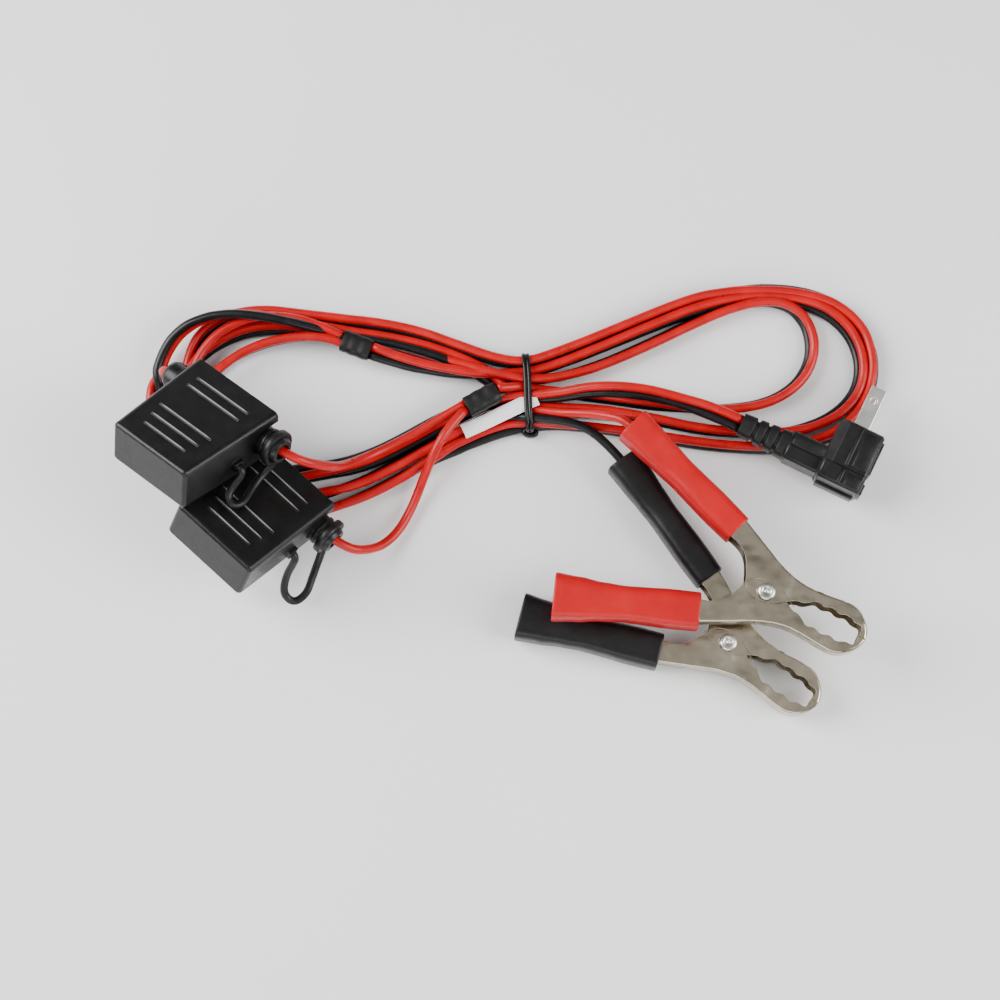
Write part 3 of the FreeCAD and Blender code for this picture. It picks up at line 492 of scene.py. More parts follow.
# from splice a round both ends of the folded cable to the plug
PLUG_ROUTE = (
    (-38.9, 61.5, 8.4, -60), (-29.5, 58.2, 7.2, -40), (-16.3, 55.5, 6.2, -20), (-3.4, 54.2, 5.0, 0),
    (4.5, 54.6, 4.0, 0), (11.9, 55.2, 3.6, 0), (20.0, 57.4, 3.2, 0), (35.4, 63.5, 3.1, -4),
    (51.6, 70.5, 3.1, -10), (67.9, 77.0, 3.1, -20), (82.0, 80.0, 3.1, -26), (96.0, 79.8, 3.1, -30),
    (107.6, 77.2, 3.1, -32), (116.4, 69.8, 3.1, -32), (120.4, 60.0, 3.1, -30), (119.4, 50.4, 3.1, -30),
    (114.0, 43.0, 3.1, -30), (105.0, 37.8, 3.1, -25), (94.0, 35.4, 3.0, -10), (80.0, 35.6, 3.0, 0),
    (67.4, 36.6, 3.0, 5), (51.4, 40.2, 3.1, 10), (35.3, 42.6, 3.1, 20), (22.0, 43.0, 3.1, 20),
    (11.9, 43.6, 3.1, 20), (6.0, 47.6, 3.1, 30), (0.5, 52.8, 3.6, 60), (-6.0, 57.0, 4.8, 100),
    (-19.0, 62.4, 5.4, 120), (-33.0, 65.8, 5.4, 125), (-47.0, 67.9, 5.2, 130), (-56.0, 69.6, 7.4, 145),
    (-65.0, 71.2, 9.4, 155), (-75.0, 72.8, 10.4, 160), (-84.5, 73.4, 10.4, 165), (-92.4, 72.0, 9.8, 175),
    (-99.0, 68.8, 8.8, 190), (-103.8, 63.8, 7.4, 200), (-107.2, 56.6, 5.4, 200), (-108.8, 47.4, 3.6, 90),
    (-108.6, 37.6, 3.0, 0), (-105.2, 27.0, 3.0, 0), (-97.8, 17.6, 3.0, 0), (-87.0, 11.0, 3.0, 0),
    (-74.6, 8.2, 3.0, 0), (-61.4, 8.4, 3.0, 0), (-49.4, 11.2, 3.0, 10), (-38.5, 15.6, 3.1, 20),
    (-29.1, 20.6, 3.1, 20), (-19.5, 26.2, 3.1, 0), (-9.9, 31.4, 3.1, -35), (-0.2, 35.4, 3.1, -48),
    (5.6, 37.2, 3.1, -45), (11.9, 38.1, 3.1, -20), (22.0, 38.2, 3.1, 0), (35.2, 37.0, 3.0, 0),
    (51.3, 34.6, 3.0, -8), (67.4, 31.8, 3.0, -12), (80.2, 30.6, 3.0, -10), (92.0, 30.4, 3.0, -10),
    (103.0, 31.8, 3.0, -10), (112.6, 35.8, 3.1, -8), (119.4, 42.6, 3.1, -8), (123.6, 51.0, 3.1, -14),
    (124.4, 60.4, 3.1, -14), (121.2, 70.2, 3.1, -5), (113.0, 78.4, 3.1, -12), (101.6, 82.4, 3.1, -24),
    (89.0, 83.4, 3.1, -24), (77.0, 82.4, 3.1, -8), (66.0, 80.0, 3.1, 6), (51.6, 74.2, 3.1, 10),
    (35.4, 67.2, 3.2, 12), (22.4, 61.8, 3.8, 14), (11.9, 58.1, 4.6, 10), (3.0, 58.8, 4.4, 15),
    (-9.9, 63.4, 3.6, 20), (-22.9, 68.4, 3.2, 22), (-35.8, 71.2, 3.1, 20), (-48.6, 72.8, 3.1, 12),
    (-61.8, 74.6, 3.1, 6), (-74.8, 76.2, 3.1, 6), (-86.4, 73.8, 3.1, 12), (-94.8, 67.8, 3.1, 16),
    (-98.4, 58.4, 3.0, 10), (-98.8, 47.0, 3.0, 0), (-96.8, 35.6, 3.0, 0), (-90.6, 26.2, 3.0, 0),
    (-80.8, 20.6, 3.0, 0), (-68.2, 19.2, 3.0, 0), (-55.0, 21.8, 3.1, -10), (-42.0, 24.4, 3.2, -25),
    (-29.1, 30.4, 3.3, -34), (-19.5, 35.8, 3.6, -34), (-9.9, 41.0, 4.2, -25), (0.6, 45.6, 5.0, -15),
    (11.9, 46.6, 5.8, -15), *PLUG_CABLE)

# from splice b round the inner loop and the left end to the clips, as far as the pair splits
CLIP_ROUTE = (
    (2.0, 47.7, 8.8, -40), (6.8, 49.3, 6.6, -20), (12.2, 49.8, 3.8, 0), (22.0, 48.8, 3.1, 0),
    (35.3, 47.4, 3.0, -12), (51.4, 45.0, 3.0, -14), (67.5, 43.4, 3.0, 6), (80.0, 43.4, 3.0, 18),
    (90.4, 45.6, 3.1, 20), (98.6, 50.6, 3.1, 22), (103.4, 57.6, 3.1, 26), (104.6, 65.4, 3.1, 28),
    (102.2, 73.0, 3.1, 20), (96.4, 78.0, 3.6, 4), (88.2, 79.0, 4.2, -10), (78.0, 76.8, 3.8, -20),
    (67.9, 72.8, 3.1, -24), (51.6, 64.8, 3.1, -24), (35.4, 57.6, 3.1, -22), (22.4, 53.6, 3.8, -14),
    (11.9, 52.4, 5.2, 0), (2.6, 54.0, 5.8, 0), (-9.9, 57.4, 4.6, 10), (-22.9, 61.2, 3.4, 20),
    (-35.9, 65.0, 3.1, 25), (-48.9, 68.0, 3.1, 25), (-61.9, 69.8, 3.1, 25), (-73.0, 70.4, 3.1, 25),
    (-82.6, 68.4, 3.1, 20), (-91.4, 63.4, 3.1, 10), (-98.6, 56.4, 3.0, 0), (-102.9, 47.6, 3.0, 0),
    (-103.2, 37.0, 3.0, 0), (-99.6, 26.6, 3.0, 0), (-91.6, 18.4, 3.0, 0), (-81.0, 14.2, 3.0, 0),
    (-69.0, 13.2, 3.0, 0), (-56.4, 14.8, 3.0, -10), (-43.0, 18.4, 3.1, 20), (-30.0, 25.0, 3.1, 28),
    (-19.5, 31.0, 3.3, 24), (-9.9, 36.0, 3.8, 10), (0.4, 40.4, 4.8, -20), (6.8, 42.2, 5.6, -60),
    (11.9, 41.4, 6.0, -105))
BLACK_LEAD = ((21.4, 38.8, 7.8), (31.0, 36.8, 7.0))
RED_LEAD = ((22.0, 41.2, 7.2), (30.0, 40.2, 12.0), (37.0, 38.2, 17.8))

# the one black conductor that joins the two splices, round the left end
BLACK_LINK = (
    (-47.6, 64.8, 8.6), (-51.6, 66.0, 8.0), (-58.6, 66.8, 5.8), (-68.0, 66.4, 3.2), (-77.4, 63.8, 2.0),
    (-85.8, 59.4, 1.7), (-92.0, 52.6, 1.7), (-94.8, 44.4, 1.7), (-93.0, 36.0, 1.7), (-87.0, 28.8, 1.7),
    (-78.2, 24.6, 1.7), (-67.4, 23.2, 1.7), (-56.4, 24.6, 1.7), (-46.6, 26.2, 1.7), (-37.4, 29.6, 1.7),
    (-28.6, 34.0, 1.9), (-19.6, 38.8, 3.6), (-13.0, 41.4, 6.6), (-8.0, 42.4, 9.2))
UPPER_IN_LEAD = ((-104.0, 51.0, 14.4), (-98.6, 47.0, 9.8), (-92.6, 50.6, 9.6), (-86.6, 56.2, 9.0),
                 (-79.4, 61.4, 8.8), (-70.4, 64.8, 8.8), (-60.6, 66.2, 8.8), (-52.0, 65.6, 8.8),
                 (-47.4, 63.6, 8.6))
LOWER_IN_LEAD = ((-93.6, 39.6, 13.6), (-96.6, 44.6, 7.4), (-97.4, 52.6, 6.6), (-93.4, 62.0, 7.4),
                 (-85.8, 69.4, 8.2), (-75.2, 73.2, 8.2), (-64.4, 72.6, 8.2), (-55.2, 69.8, 8.4),
                 (-47.8, 66.2, 8.6))
UPPER_OUT_LEAD = ((-50.0, 19.6, 27.0), (-45.6, 22.4, 17.0), (-39.8, 26.0, 10.6), (-33.4, 29.4, 8.0),
                  (-24.0, 34.4, 7.8), (-15.4, 39.6, 8.6), (-8.0, 43.8, 9.4))
LOWER_OUT_LEAD = ((-36.4, -3.4, 7.6), (-30.0, 2.2, 4.0), (-25.4, 10.4, 3.4), (-21.8, 19.2, 6.2),
                  (-18.2, 27.6, 11.0), (-13.6, 35.4, 12.4), (-8.2, 41.6, 10.4))


def back_to_design(point):
    """A place in the frame as a design point, in millimetres."""
    return tuple(point / MM - ORIGIN_SHIFT)


def neck_points(holder, side):
    """Where a fuse lead meets its terminal, and a point outside the neck."""
    places = (TERMINAL_END, TERMINAL_END + NECK_STRAIGHT)
    return [back_to_design(HOLDERS[holder] @ Vector((side * x, LEAD_AXIS_Y, 0.0))) for x in places]


def grip_points(colour):
    """A point outside a clip's fixed grip, and the crimp that the lead goes to."""
    return [back_to_design(CLIPS[colour] @ along_handle(x)) for x in (CRIMP_END + LEAD_STRAIGHT, CRIMP_END)]


def relief_points():
    """A point outside the plug's strain relief, and the relief's end."""
    places = (-RELIEF_LENGTH - RELIEF_RUN_IN, -RELIEF_LENGTH)
    return [back_to_design(PLUG @ Vector((x, 0.0, RELIEF_HEIGHT))) for x in places]


def nurbs_line(points):
    """Points along the smooth NURBS line that has these control points, in metres."""
    curve = bpy.data.curves.new("route", "CURVE")
    curve.dimensions = "3D"
    curve.resolution_u = 8
    spline = curve.splines.new("NURBS")
    spline.points.add(len(points) - 1)
    for control, point in zip(spline.points, points):
        control.co = (*put(point), 1.0)
    spline.order_u = 3
    spline.use_endpoint_u = True
    obj = bpy.data.objects.new("route", curve)
    mesh = bpy.data.meshes.new_from_object(obj)
    line = [v.co.copy() for v in mesh.vertices]
    bpy.data.objects.remove(obj)
    bpy.data.meshes.remove(mesh)
    bpy.data.curves.remove(curve)
    return line


def roll_along(points, count):
    """The pair's roll at each of count samples of a route's line, in radians."""
    spans = len(points) - 2
    places = [min(max(j - 0.5, 0.0), spans) for j in range(len(points))]
    rolls = []
    j = 0
    for i in range(count):
        u = spans * i / (count - 1)
        while j < len(points) - 2 and places[j + 1] < u:
            j += 1
        share = (u - places[j]) / (places[j + 1] - places[j])
        smooth = share * share * (3.0 - 2.0 * share)
        rolls.append(math.radians(points[j][3] + (points[j + 1][3] - points[j][3]) * smooth))
    return rolls


def pair_lines(points):
    """The red and the black conductor's lines along one route of the pair."""
    line = nurbs_line(points)
    red, black = [], []
    for i, (centre, roll) in enumerate(zip(line, roll_along(points, len(line)))):
        tangent = (line[min(i + 1, len(line) - 1)] - line[max(i - 1, 0)]).normalized()
        side = tangent.cross(Vector((0, 0, 1))).normalized()
        up = side.cross(tangent)
        reach = (up * math.cos(roll) + side * math.sin(roll)) * CONDUCTOR_RADIUS * MM
        red.append(centre + reach)
        black.append(centre - reach)
    return red, black


def conductor(name, slot, line, replaced):
    """One insulated conductor as a mesh tube, riding on the root body."""
    mesh = rings_mesh(name, tube_rings(line, CONDUCTOR_RADIUS * MM))
    obj = piece(name, mesh, "root", slot, replaced, sharp=None)
    return obj


def joined(first, second):
    """Two lines end to end, without the meeting point twice."""
    return first + second[1:]


def build_cords():
    plug_route = [*PLUG_ROUTE, *((*p, RELIEF_ROLL) for p in relief_points())]
    red, black = pair_lines(plug_route)
    hank = ("folded_cable_left", "folded_cable_right")
    conductor("plug_conductor_red", "cable_red", red, (*hank, "plug_cable"))
    conductor("plug_conductor_black", "cable_black", black, (*hank, "plug_cable"))
    red, black = pair_lines(CLIP_ROUTE)
    for colour, line, rest in (("red", red, RED_LEAD), ("black", black, BLACK_LEAD)):
        tail = nurbs_line([back_to_design(line[-1]), *rest, *grip_points(colour)])
        conductor(f"clip_conductor_{colour}", f"cable_{colour}", joined(line, tail),
                  (*hank, f"{colour}_clip_lead"))
    conductor("black_link", "cable_black", nurbs_line(BLACK_LINK), hank)
    leads = (("a", -1, UPPER_IN_LEAD, "in"), ("b", -1, LOWER_IN_LEAD, "in"),
             ("a", 1, UPPER_OUT_LEAD, "out"), ("b", 1, LOWER_OUT_LEAD, "out"))
    for holder, side, rest, way in leads:
        line = nurbs_line([*neck_points(holder, side), *rest])
        node = f"fuse_lead_{holder}_{way}"
        conductor(f"{node}_wire", "cable_red", line, (node, *hank))


build_cords()

# ---------------------------------------------------------------- splices, tie and label


def build_splice(key):
    """A shrink sleeve drawn down over its crimps and the wires at each end."""
    place, (length, width, thick) = SPLICES[key]
    rings = []
    steps = 28
    for i in range(steps + 1):
        t = i / steps
        x = (t - 0.5) * length
        shoulder = math.sin(min(1.0, 7.0 * min(t, 1.0 - t)) * math.pi / 2)
        lip = math.exp(-(min(t, 1.0 - t) / 0.05) ** 2)
        swell = 0.84 + 0.14 * shoulder + 0.09 * lip + 0.022 * math.sin(17.0 * t + 1.0)
        rings.append(oval(x, width / 2 * swell, thick / 2 * swell, 2.7))
    for inset in (0.9, 0.72):
        rings.append(oval(length / 2, width / 2 * 0.84 * inset, thick / 2 * 0.84 * inset, 2.6))
        rings.insert(0, oval(-length / 2, width / 2 * 0.84 * inset, thick / 2 * 0.84 * inset, 2.6))
    mesh = rings_mesh(f"splice_{key}", rings, place)
    piece(f"splice_{key}_shrink_sleeve", mesh, "root", "sleeve_rubber", [f"splice_{key}_sleeve"], sharp=60.0)
    finish_node(f"splice_{key}_crimps", "terminal_metal")


TIE_X, TIE_MIDDLE, TIE_HALF_Y, TIE_HALF_Z, TIE_MIDDLE_Z = 11.9, 48.2, 12.3, 4.1, 5.0
TIE_WIRE, TIE_GAP, TIE_LEAN, TIE_POWER = 0.72, 0.62, -0.7, 0.62


def build_tie():
    """Two touching turns of covered wire round the bundle, with the ends curled up at the front."""
    meshes = []
    for side in (-TIE_GAP, TIE_GAP):
        path = []
        for i in range(96):
            angle = math.tau * i / 96
            c, s = math.cos(angle), math.sin(angle)
            y = math.copysign(abs(c) ** TIE_POWER, c) * TIE_HALF_Y
            z = math.copysign(abs(s) ** TIE_POWER, s) * TIE_HALF_Z
            path.append(put((TIE_X + side + TIE_LEAN * c, TIE_MIDDLE + y, TIE_MIDDLE_Z + z)))
        meshes.append(rings_mesh("turn", tube_rings(path, TIE_WIRE * MM, 14, closed=True), closed=True))
    path = []
    for i in range(73):
        t = i / 72
        angle = math.radians(100.0) + t * math.tau * 2.0
        path.append(put((TIE_X + 0.9 + 2.0 * math.cos(angle), TIE_MIDDLE - TIE_HALF_Y - 0.2 + math.sin(angle),
                         3.4 - 2.4 * t)))
    meshes.append(rings_mesh("end", tube_rings(path, TIE_WIRE * MM, 12)))
    piece("wire_tie_turns", merged("tie", meshes), "root", "tie_plastic", ["wire_tie"], sharp=60.0)


LABEL_SIZE, LABEL_GRID = (26.0, 4.8, 0.25), (52, 12)


def build_label():
    """A blank flag label, bent over the strands that it is stuck round."""
    length, width, thick = LABEL_SIZE
    columns, rows = LABEL_GRID
    vertices, faces = [], []
    for level in (0.0, -thick):
        for i in range(columns + 1):
            for j in range(rows + 1):
                x = (i / columns - 0.5) * length
                y = (j / rows - 0.5) * width
                rise = 0.5 - 0.10 * y * y + 0.35 * math.sin(x * 0.28) + 0.03 * (x + length / 2)
                vertices.append(Vector((x, y, rise + level)))
    side = (columns + 1) * (rows + 1)
    for i in range(columns):
        for j in range(rows):
            a = i * (rows + 1) + j
            b = a + rows + 1
            faces.append((a, b, b + 1, a + 1))
            faces.append((side + a, side + a + 1, side + b + 1, side + b))
    border = [i * (rows + 1) for i in range(columns + 1)]
    border += [columns * (rows + 1) + j for j in range(1, rows + 1)]
    border += [i * (rows + 1) + rows for i in range(columns - 1, -1, -1)]
    border += list(range(rows - 1, 0, -1))
    for a, b in zip(border, border[1:] + border[:1]):
        faces.append((a, side + a, side + b, b))
    piece("flag_label", mesh_from("label", vertices, faces, LABEL), "root", "label_paper", ["label"])


for splice_key in SPLICES:
    build_splice(splice_key)
build_tie()
build_label()

# ---------------------------------------------------------------- battery clips
GRIP_PROFILES = {
    "fixed": (4.8, 4.95, 4.9, 4.75, 4.95, 5.5, 6.0),
    "moving": (5.9, 5.95, 5.75, 5.55, 5.9, 6.9, 7.6),
}
GRIP_HALF_HEIGHT, GRIP_LIP = 6.8, 0.55


def between(values, t):
    """A smooth value at t, from 0 to 1, over evenly spaced values."""
    place = t * (len(values) - 1)
    i = min(int(place), len(values) - 2)
    share = place - i
    share = share * share * (3.0 - 2.0 * share)
    return values[i] + (values[i + 1] - values[i]) * share


def build_grip(colour, half, body):
    """A dipped sleeve: a rolled front lip, a waisted body and an open, rounded end."""
    profile = GRIP_PROFILES[half]
    start, length = GRIPS[half]
    inner_y, inner_z = (size + 0.15 for size in HANDLE_HALF[half])
    rings = [oval(2.0, inner_y, inner_z, 6.0), oval(0.2, inner_y, inner_z, 6.0)]
    steps = 60
    for i in range(steps + 1):
        t = 0.5 - 0.5 * math.cos(math.pi * i / steps)
        x = t * length
        front = math.sqrt(max(0.0, 1.0 - max(0.0, 1.0 - x / GRIP_LIP) ** 2))
        back = math.sqrt(max(0.0, 1.0 - max(0.0, 1.0 - (length - x) / GRIP_LIP) ** 2))
        inset = 0.45 * (1.0 - front) + 0.5 * (1.0 - back)
        ripple = 0.05 * math.sin(5.0 + 13.0 * t) + 0.03 * math.sin(31.0 * t)
        pinch = 0.8 * math.exp(-((t - 0.62) / 0.16) ** 2)
        height = GRIP_HALF_HEIGHT - 0.15 - 0.3 * (1.0 - t) - pinch - inset
        rings.append(oval(x, between(profile, t) - inset + ripple, height, 4.2))
    end = profile[-1] - 1.5
    rings += [oval(length - 0.3, end, GRIP_HALF_HEIGHT - 1.4, 4.2),
              oval(length - 5.0, end - 0.4, GRIP_HALF_HEIGHT - 1.8, 4.2)]
    mirror = 1.0 if half == "fixed" else -1.0
    across = Matrix.Rotation(math.radians(180.0 - HANDLE_ANGLE), 4, "Z")
    turn = Matrix.Translation(along_handle(start)) @ across
    place = CLIPS[colour] @ Matrix.Scale(mirror, 4, (0, 1, 0)) @ turn
    mesh = rings_mesh(f"{half}_grip", rings, place)
    if mirror < 0:
        mesh.flip_normals()
    node = f"{colour}_clip_{half}_grip"
    piece(f"{node}_sleeve", mesh, body, f"{colour}_grip", [node], sharp=None)


# radius and height of a rivet's head, from the middle of its dimple to its rim
RIVET_HEAD = ((0.05, 4.9), (0.5, 5.0), (0.9, 5.35), (1.25, 5.85), (1.6, 6.05), (2.0, 6.05), (2.4, 5.9),
              (2.66, 5.6), (2.72, 5.3), (2.5, 5.2))
COIL_RADIUS, COIL_HALF, COIL_TURNS, COIL_START, SPRING_WIRE = 3.35, 2.5, 4.2, 118.0, 0.6


def build_rivet(colour):
    """The hinge rivet: a shank and two heads, each domed with a spun dimple."""
    profile = [*RIVET_HEAD, *((radius, -height) for radius, height in reversed(RIVET_HEAD))]
    mesh = rings_mesh("rivet", lathe(profile), CLIPS[colour])
    node = f"{colour}_clip_rivet"
    piece(f"{node}_spun", mesh, "root", "rivet_steel", [node], sharp=None)


def spring_leg(side):
    """One leg of the torsion spring, from its coil to the inside of a handle."""
    level = side * COIL_HALF
    target = along_handle(5.0, -1.9)
    points = []
    for i in range(13):
        t = i / 12
        points.append(Vector((-1.6 + (target.x + 1.6) * t, side * (2.9 + (target.y - 2.9) * t),
                              level + side * 0.12 * math.sin(math.pi * t))))
    return points


def build_spring(colour):
    """The torsion spring: a wound coil with its fixed leg, and the leg that follows the jaw."""
    coil = []
    steps = 150
    for i in range(steps + 1):
        t = i / steps
        angle = math.radians(COIL_START) + t * math.tau * COIL_TURNS
        coil.append(Vector((COIL_RADIUS * math.cos(angle), COIL_RADIUS * math.sin(angle),
                            COIL_HALF * (1.0 - 2.0 * t))))
    place = CLIPS[colour]
    node = f"{colour}_clip_spring"
    pieces = (("coil", coil, "root"), ("fixed_leg", spring_leg(1), "root"),
              ("moving_leg", spring_leg(-1), f"{colour}_jaw"))
    for name, path, body in pieces:
        mesh = rings_mesh(name, tube_rings(path, SPRING_WIRE, 12), place)
        piece(f"{node}_{name}", mesh, body, "spring_steel", [node], sharp=None)


ROLL_WIDTH, ROLL_SEGMENTS = 0.0007, 5


def wall_edge(colour, side):
    """Picks the edges where a side plate turns into the wall on a jaw's outer side, +1 or -1."""
    outward = (CLIPS[colour].to_3x3() @ Vector((0.30, side, 0.0))).normalized()

    def picked(edge):
        flat, upright = sorted(edge.link_faces, key=lambda face: -abs(face.normal.z))
        square = abs(flat.normal.z) > 0.95 and abs(upright.normal.z) < 0.2
        return edge.is_convex and square and upright.normal.dot(outward) > 0.35

    return picked


# the line's points and its height over a clip's middle, in the clip's own millimetres
PRESSED_LEVEL = 5.2
PRESSED_LINE = ((10.0, -0.9), (7.6, 0.6), (3.7, 2.8), (-0.9, 3.6), (-4.7, 2.6), (-6.8, 0.6), (-8.4, -2.0))


def build_pressed_line(colour):
    """The fine line that the inner channel's edge presses through the outer channel's side plates."""
    smooth = [Vector(back_to_design(p)) for p in nurbs_line([(x, y, 0.0) for x, y in PRESSED_LINE])]
    for side, level in (("upper", PRESSED_LEVEL), ("lower", -PRESSED_LEVEL)):
        path = [Vector((p.x, p.y, level)) for p in smooth]
        mesh = rings_mesh("line", tube_rings(path, 0.13, 8), CLIPS[colour])
        piece(f"{colour}_clip_pressed_line_{side}", mesh, "root", "nickel_steel",
              [f"{colour}_clip_fixed_jaw"], sharp=None)


def build_clip(colour):
    jaw = f"{colour}_jaw"
    for half, channel, body, side in (("fixed", "outer", "root", 1), ("moving", "inner", jaw, -1)):
        refined(f"{colour}_clip_{half}_jaw", f"{colour}_clip_{channel}_channel", body, "nickel_steel",
                ROLL_WIDTH, ROLL_SEGMENTS, picked=wall_edge(colour, side))
    build_pressed_line(colour)
    build_grip(colour, "fixed", "root")
    build_grip(colour, "moving", jaw)
    build_rivet(colour)
    build_spring(colour)
    finish_node(f"{colour}_clip_lead_crimp", "terminal_metal")


for clip_colour in CLIPS:
    build_clip(clip_colour)

# ---------------------------------------------------------------- fuse holders
# each strap's route from the eyelet to the tab on the cap's side, in the holder's own frame
TETHERS = {
    "a": ((21.6, -5.0, -4.9), (21.2, -8.6, -8.0), (21.2, -12.4, -9.6), (22.2, -16.8, -10.8),
          (23.6, -21.0, -11.4), (22.6, -24.6, -11.2), (19.9, -24.4, -9.6), (19.2, -21.4, -7.2),
          (19.6, -18.6, -4.8), (19.4, -17.5, -2.6), (18.0, -17.5, -2.2)),
    "b": ((21.6, -5.0, -4.9), (23.1, -7.1, -10.2), (25.3, -11.5, -14.2), (27.5, -15.4, -17.1),
          (26.5, -19.6, -20.1), (22.0, -20.7, -18.3), (19.8, -19.2, -11.7), (19.6, -18.1, -5.9),
          (19.4, -17.6, -2.6), (18.0, -17.5, -2.2)),
}
EYELET = ((20.4, 4.75), (20.4, 5.9), (20.8, 6.2), (22.4, 6.2), (22.8, 5.9), (22.8, 4.75))


def local_line(points):
    """The smooth line through a piece's own control points, back in its own millimetres."""
    return [Vector(back_to_design(p)) for p in nurbs_line(points)]


def build_tether(key):
    """The strap that keeps the cap: a moulded eyelet round the neck and a flat bent strap."""
    spin = Matrix.Translation((0, LEAD_AXIS_Y, 0)) @ Matrix.Rotation(math.radians(90), 4, "Y")
    ring = rings_mesh("eyelet", lathe([(r, x) for x, r in EYELET], 56), closed=True)
    ring.transform(spin)
    strap = rings_mesh("strap", tube_rings(local_line(TETHERS[key]), 1.3, 16, flat=0.88))
    mesh = merged("tether", (ring, strap), HOLDERS[key])
    obj = piece(f"fuse_{key}_tether_strap", mesh, None, "tether_rubber", [f"fuse_{key}_tether"], sharp=50.0)
    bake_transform(obj)


CAP_MOUTH_HALF, CAP_END_HALF, CAP_DEPTH, RIB_HEIGHT = 8.55, 7.95, 39.0, 0.4
CREST_RADIUS, CREST_SINK = 0.27, 0.05
# each rib's place down the cap and its length
RIB_ROWS = ((-7.0, 22.0), (-11.2, 22.0), (-23.2, 22.0), (-27.8, 20.0), (-32.2, 17.5))


def pointed_ends(t):
    """The share of a crest's radius at t, from 0 to 1 along it."""
    return min(1.0, 0.15 + 8.0 * min(t, 1.0 - t))


def build_painted_rib_highlights(key):
    """Painted highlights on the ribs of the cap's two faces: narrow lighter rods along each crest, pointed at
    both ends.
    """
    meshes = []
    for side in (1, -1):
        for y, length in RIB_ROWS:
            face = CAP_MOUTH_HALF + (CAP_END_HALF - CAP_MOUTH_HALF) * (-y) / CAP_DEPTH
            level = face + RIB_HEIGHT - CREST_SINK
            path = [Vector(((i / 16 - 0.5) * length, y, side * level)) for i in range(17)]
            rings = tube_rings(path, CREST_RADIUS, 8, ripple=pointed_ends)
            meshes.append(rings_mesh("crest", rings))
    obj = piece(f"fuse_{key}_cap_rib_painted_highlights", merged("crests", meshes, HOLDERS[key]), f"cap_{key}",
                "holder_plastic", [f"fuse_{key}_cap"], sharp=None)
    # the rods' lighter grey is a painted highlight
    obj.data.materials[0] = RIB_PAINTED_HIGHLIGHT


def build_holder(key):
    name = f"fuse_{key}"
    build_painted_rib_highlights(key)
    refined(f"{name}_cap", f"{name}_moulded_cap", f"cap_{key}", "holder_plastic", 0.00016)
    refined(f"{name}_base", f"{name}_moulded_base", "root", "holder_plastic", 0.00018)
    refined(f"{name}_blade_fuse_body", f"{name}_fuse_case", f"fuse_{key}", "fuse_plastic", 0.0003)
    finish_node(f"{name}_blade_fuse_metal", "blade_metal")
    finish_node(f"{name}_terminals", "terminal_metal")
    build_tether(key)


for holder_key in HOLDERS:
    build_holder(holder_key)

# ---------------------------------------------------------------- plug


RELIEF_GROOVES, GROOVE_HALF = (-11.0, -7.2, -3.4), 0.55


def build_strain_relief():
    """The ribbed sleeve that runs down to the cable, with its bending grooves."""
    rings = []
    steps = 96
    for i in range(steps + 1):
        x = -RELIEF_LENGTH * (1.0 - i / steps)
        t = i / steps
        half = 3.7 + t
        cut = sum(math.exp(-((x - groove) / GROOVE_HALF) ** 4) for groove in RELIEF_GROOVES)
        rings.append(oval(x, half - cut, half - 0.3 - 0.9 * cut, 3.2, 48))
    rings.insert(0, oval(-RELIEF_LENGTH - 0.05, 3.1, 2.9, 2.8, 48))
    rings.append(oval(1.2, 4.0, 3.8, 3.2, 48))
    place = PLUG @ Matrix.Translation((0, 0, RELIEF_HEIGHT))
    mesh = rings_mesh("relief", rings, place)
    piece("plug_ribbed_relief", mesh, "root", "relief_rubber", ["plug_strain_relief"], sharp=50.0)


HEAD_LEFT, HEAD_TOP, FACET = 12.1, 20.4, 3.0


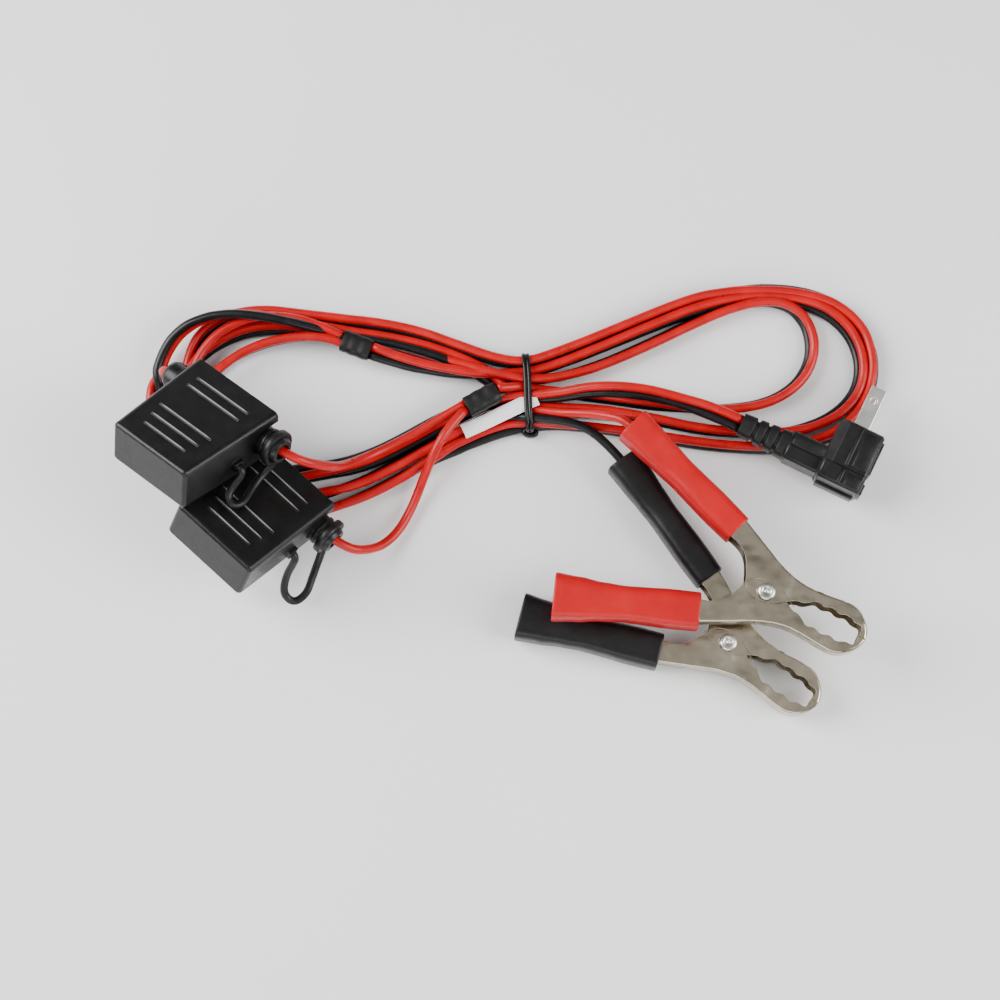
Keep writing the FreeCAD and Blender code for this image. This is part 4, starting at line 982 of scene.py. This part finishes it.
def cut_facet(bm):
    """A sloping facet along the head's top edge above the arm."""
    to_plug = PLUG.inverted()
    head = [f for f in bm.faces if all((to_plug @ v.co).x > HEAD_LEFT - 0.3 for v in f.verts)]
    geometry = list({v for f in head for v in f.verts}) + list({e for f in head for e in f.edges}) + head
    place = PLUG @ Vector((HEAD_LEFT + FACET, 0.0, HEAD_TOP))
    normal = (PLUG.to_3x3() @ Vector((-1.0, 0.0, 1.0))).normalized()
    result = bmesh.ops.bisect_plane(bm, geom=geometry, dist=1e-7, plane_co=place, plane_no=normal,
                                    clear_outer=True)
    rim = [g for g in result["geom_cut"] if isinstance(g, bmesh.types.BMEdge)]
    bmesh.ops.contextual_create(bm, geom=rim)


SHELL_BEVEL, BLADE_BEVEL, DETAIL_BEVEL = 0.0003, 0.00022, 0.00028
# raised details on the plug, in its own frame: x0, x1, y0, y1, z0, z1
PLUG_DETAILS = {
    "plug_front_shell": (
        (18.9, 20.1, 0.5, 14.0, 20.0, 20.75), (21.2, 26.4, 1.2, 13.4, 20.0, 20.6),
        (26.8, 27.9, 1.6, 12.8, 9.0, 18.4), (1.2, 12.4, 0.4, 4.2, 16.6, 17.3)),
    "plug_rear_cover": (
        (18.9, 20.1, -5.6, -0.5, 20.0, 20.75), (21.2, 26.4, -5.4, -1.2, 20.0, 20.6),
        (26.8, 27.9, -5.4, -1.8, 8.0, 17.4), (13.0, 26.0, -6.9, -5.8, 7.2, 12.4)),
}


def build_plug_details(node):
    """Steps and pads moulded on one shell of the plug."""
    bm = bmesh.new()
    for x0, x1, y0, y1, z0, z1 in PLUG_DETAILS[node]:
        size = Matrix.Diagonal((x1 - x0, y1 - y0, z1 - z0, 1.0))
        middle = Matrix.Translation(((x0 + x1) / 2, (y0 + y1) / 2, (z0 + z1) / 2))
        bmesh.ops.create_cube(bm, size=1.0, matrix=PLUG @ middle @ size)
    bmesh.ops.bevel(bm, geom=list(bm.edges), offset=DETAIL_BEVEL, offset_type="OFFSET", segments=2,
                    profile=0.5, affect="EDGES")
    mesh = bpy.data.meshes.new("details")
    bm.to_mesh(mesh)
    bm.free()
    piece(f"{node}_details", mesh, "root", "plug_plastic", [node], sharp=50.0)


def build_plug():
    refined("plug_front_shell", "plug_moulded_front", "root", "plug_plastic", SHELL_BEVEL, cut=cut_facet)
    refined("plug_rear_cover", "plug_moulded_cover", "root", "plug_plastic", SHELL_BEVEL)
    for blade in ("flat", "upright"):
        refined(f"plug_{blade}_blade", f"plug_plated_{blade}_blade", "root", "blade_metal", BLADE_BEVEL)
    for node in PLUG_DETAILS:
        build_plug_details(node)
    build_strain_relief()


build_plug()
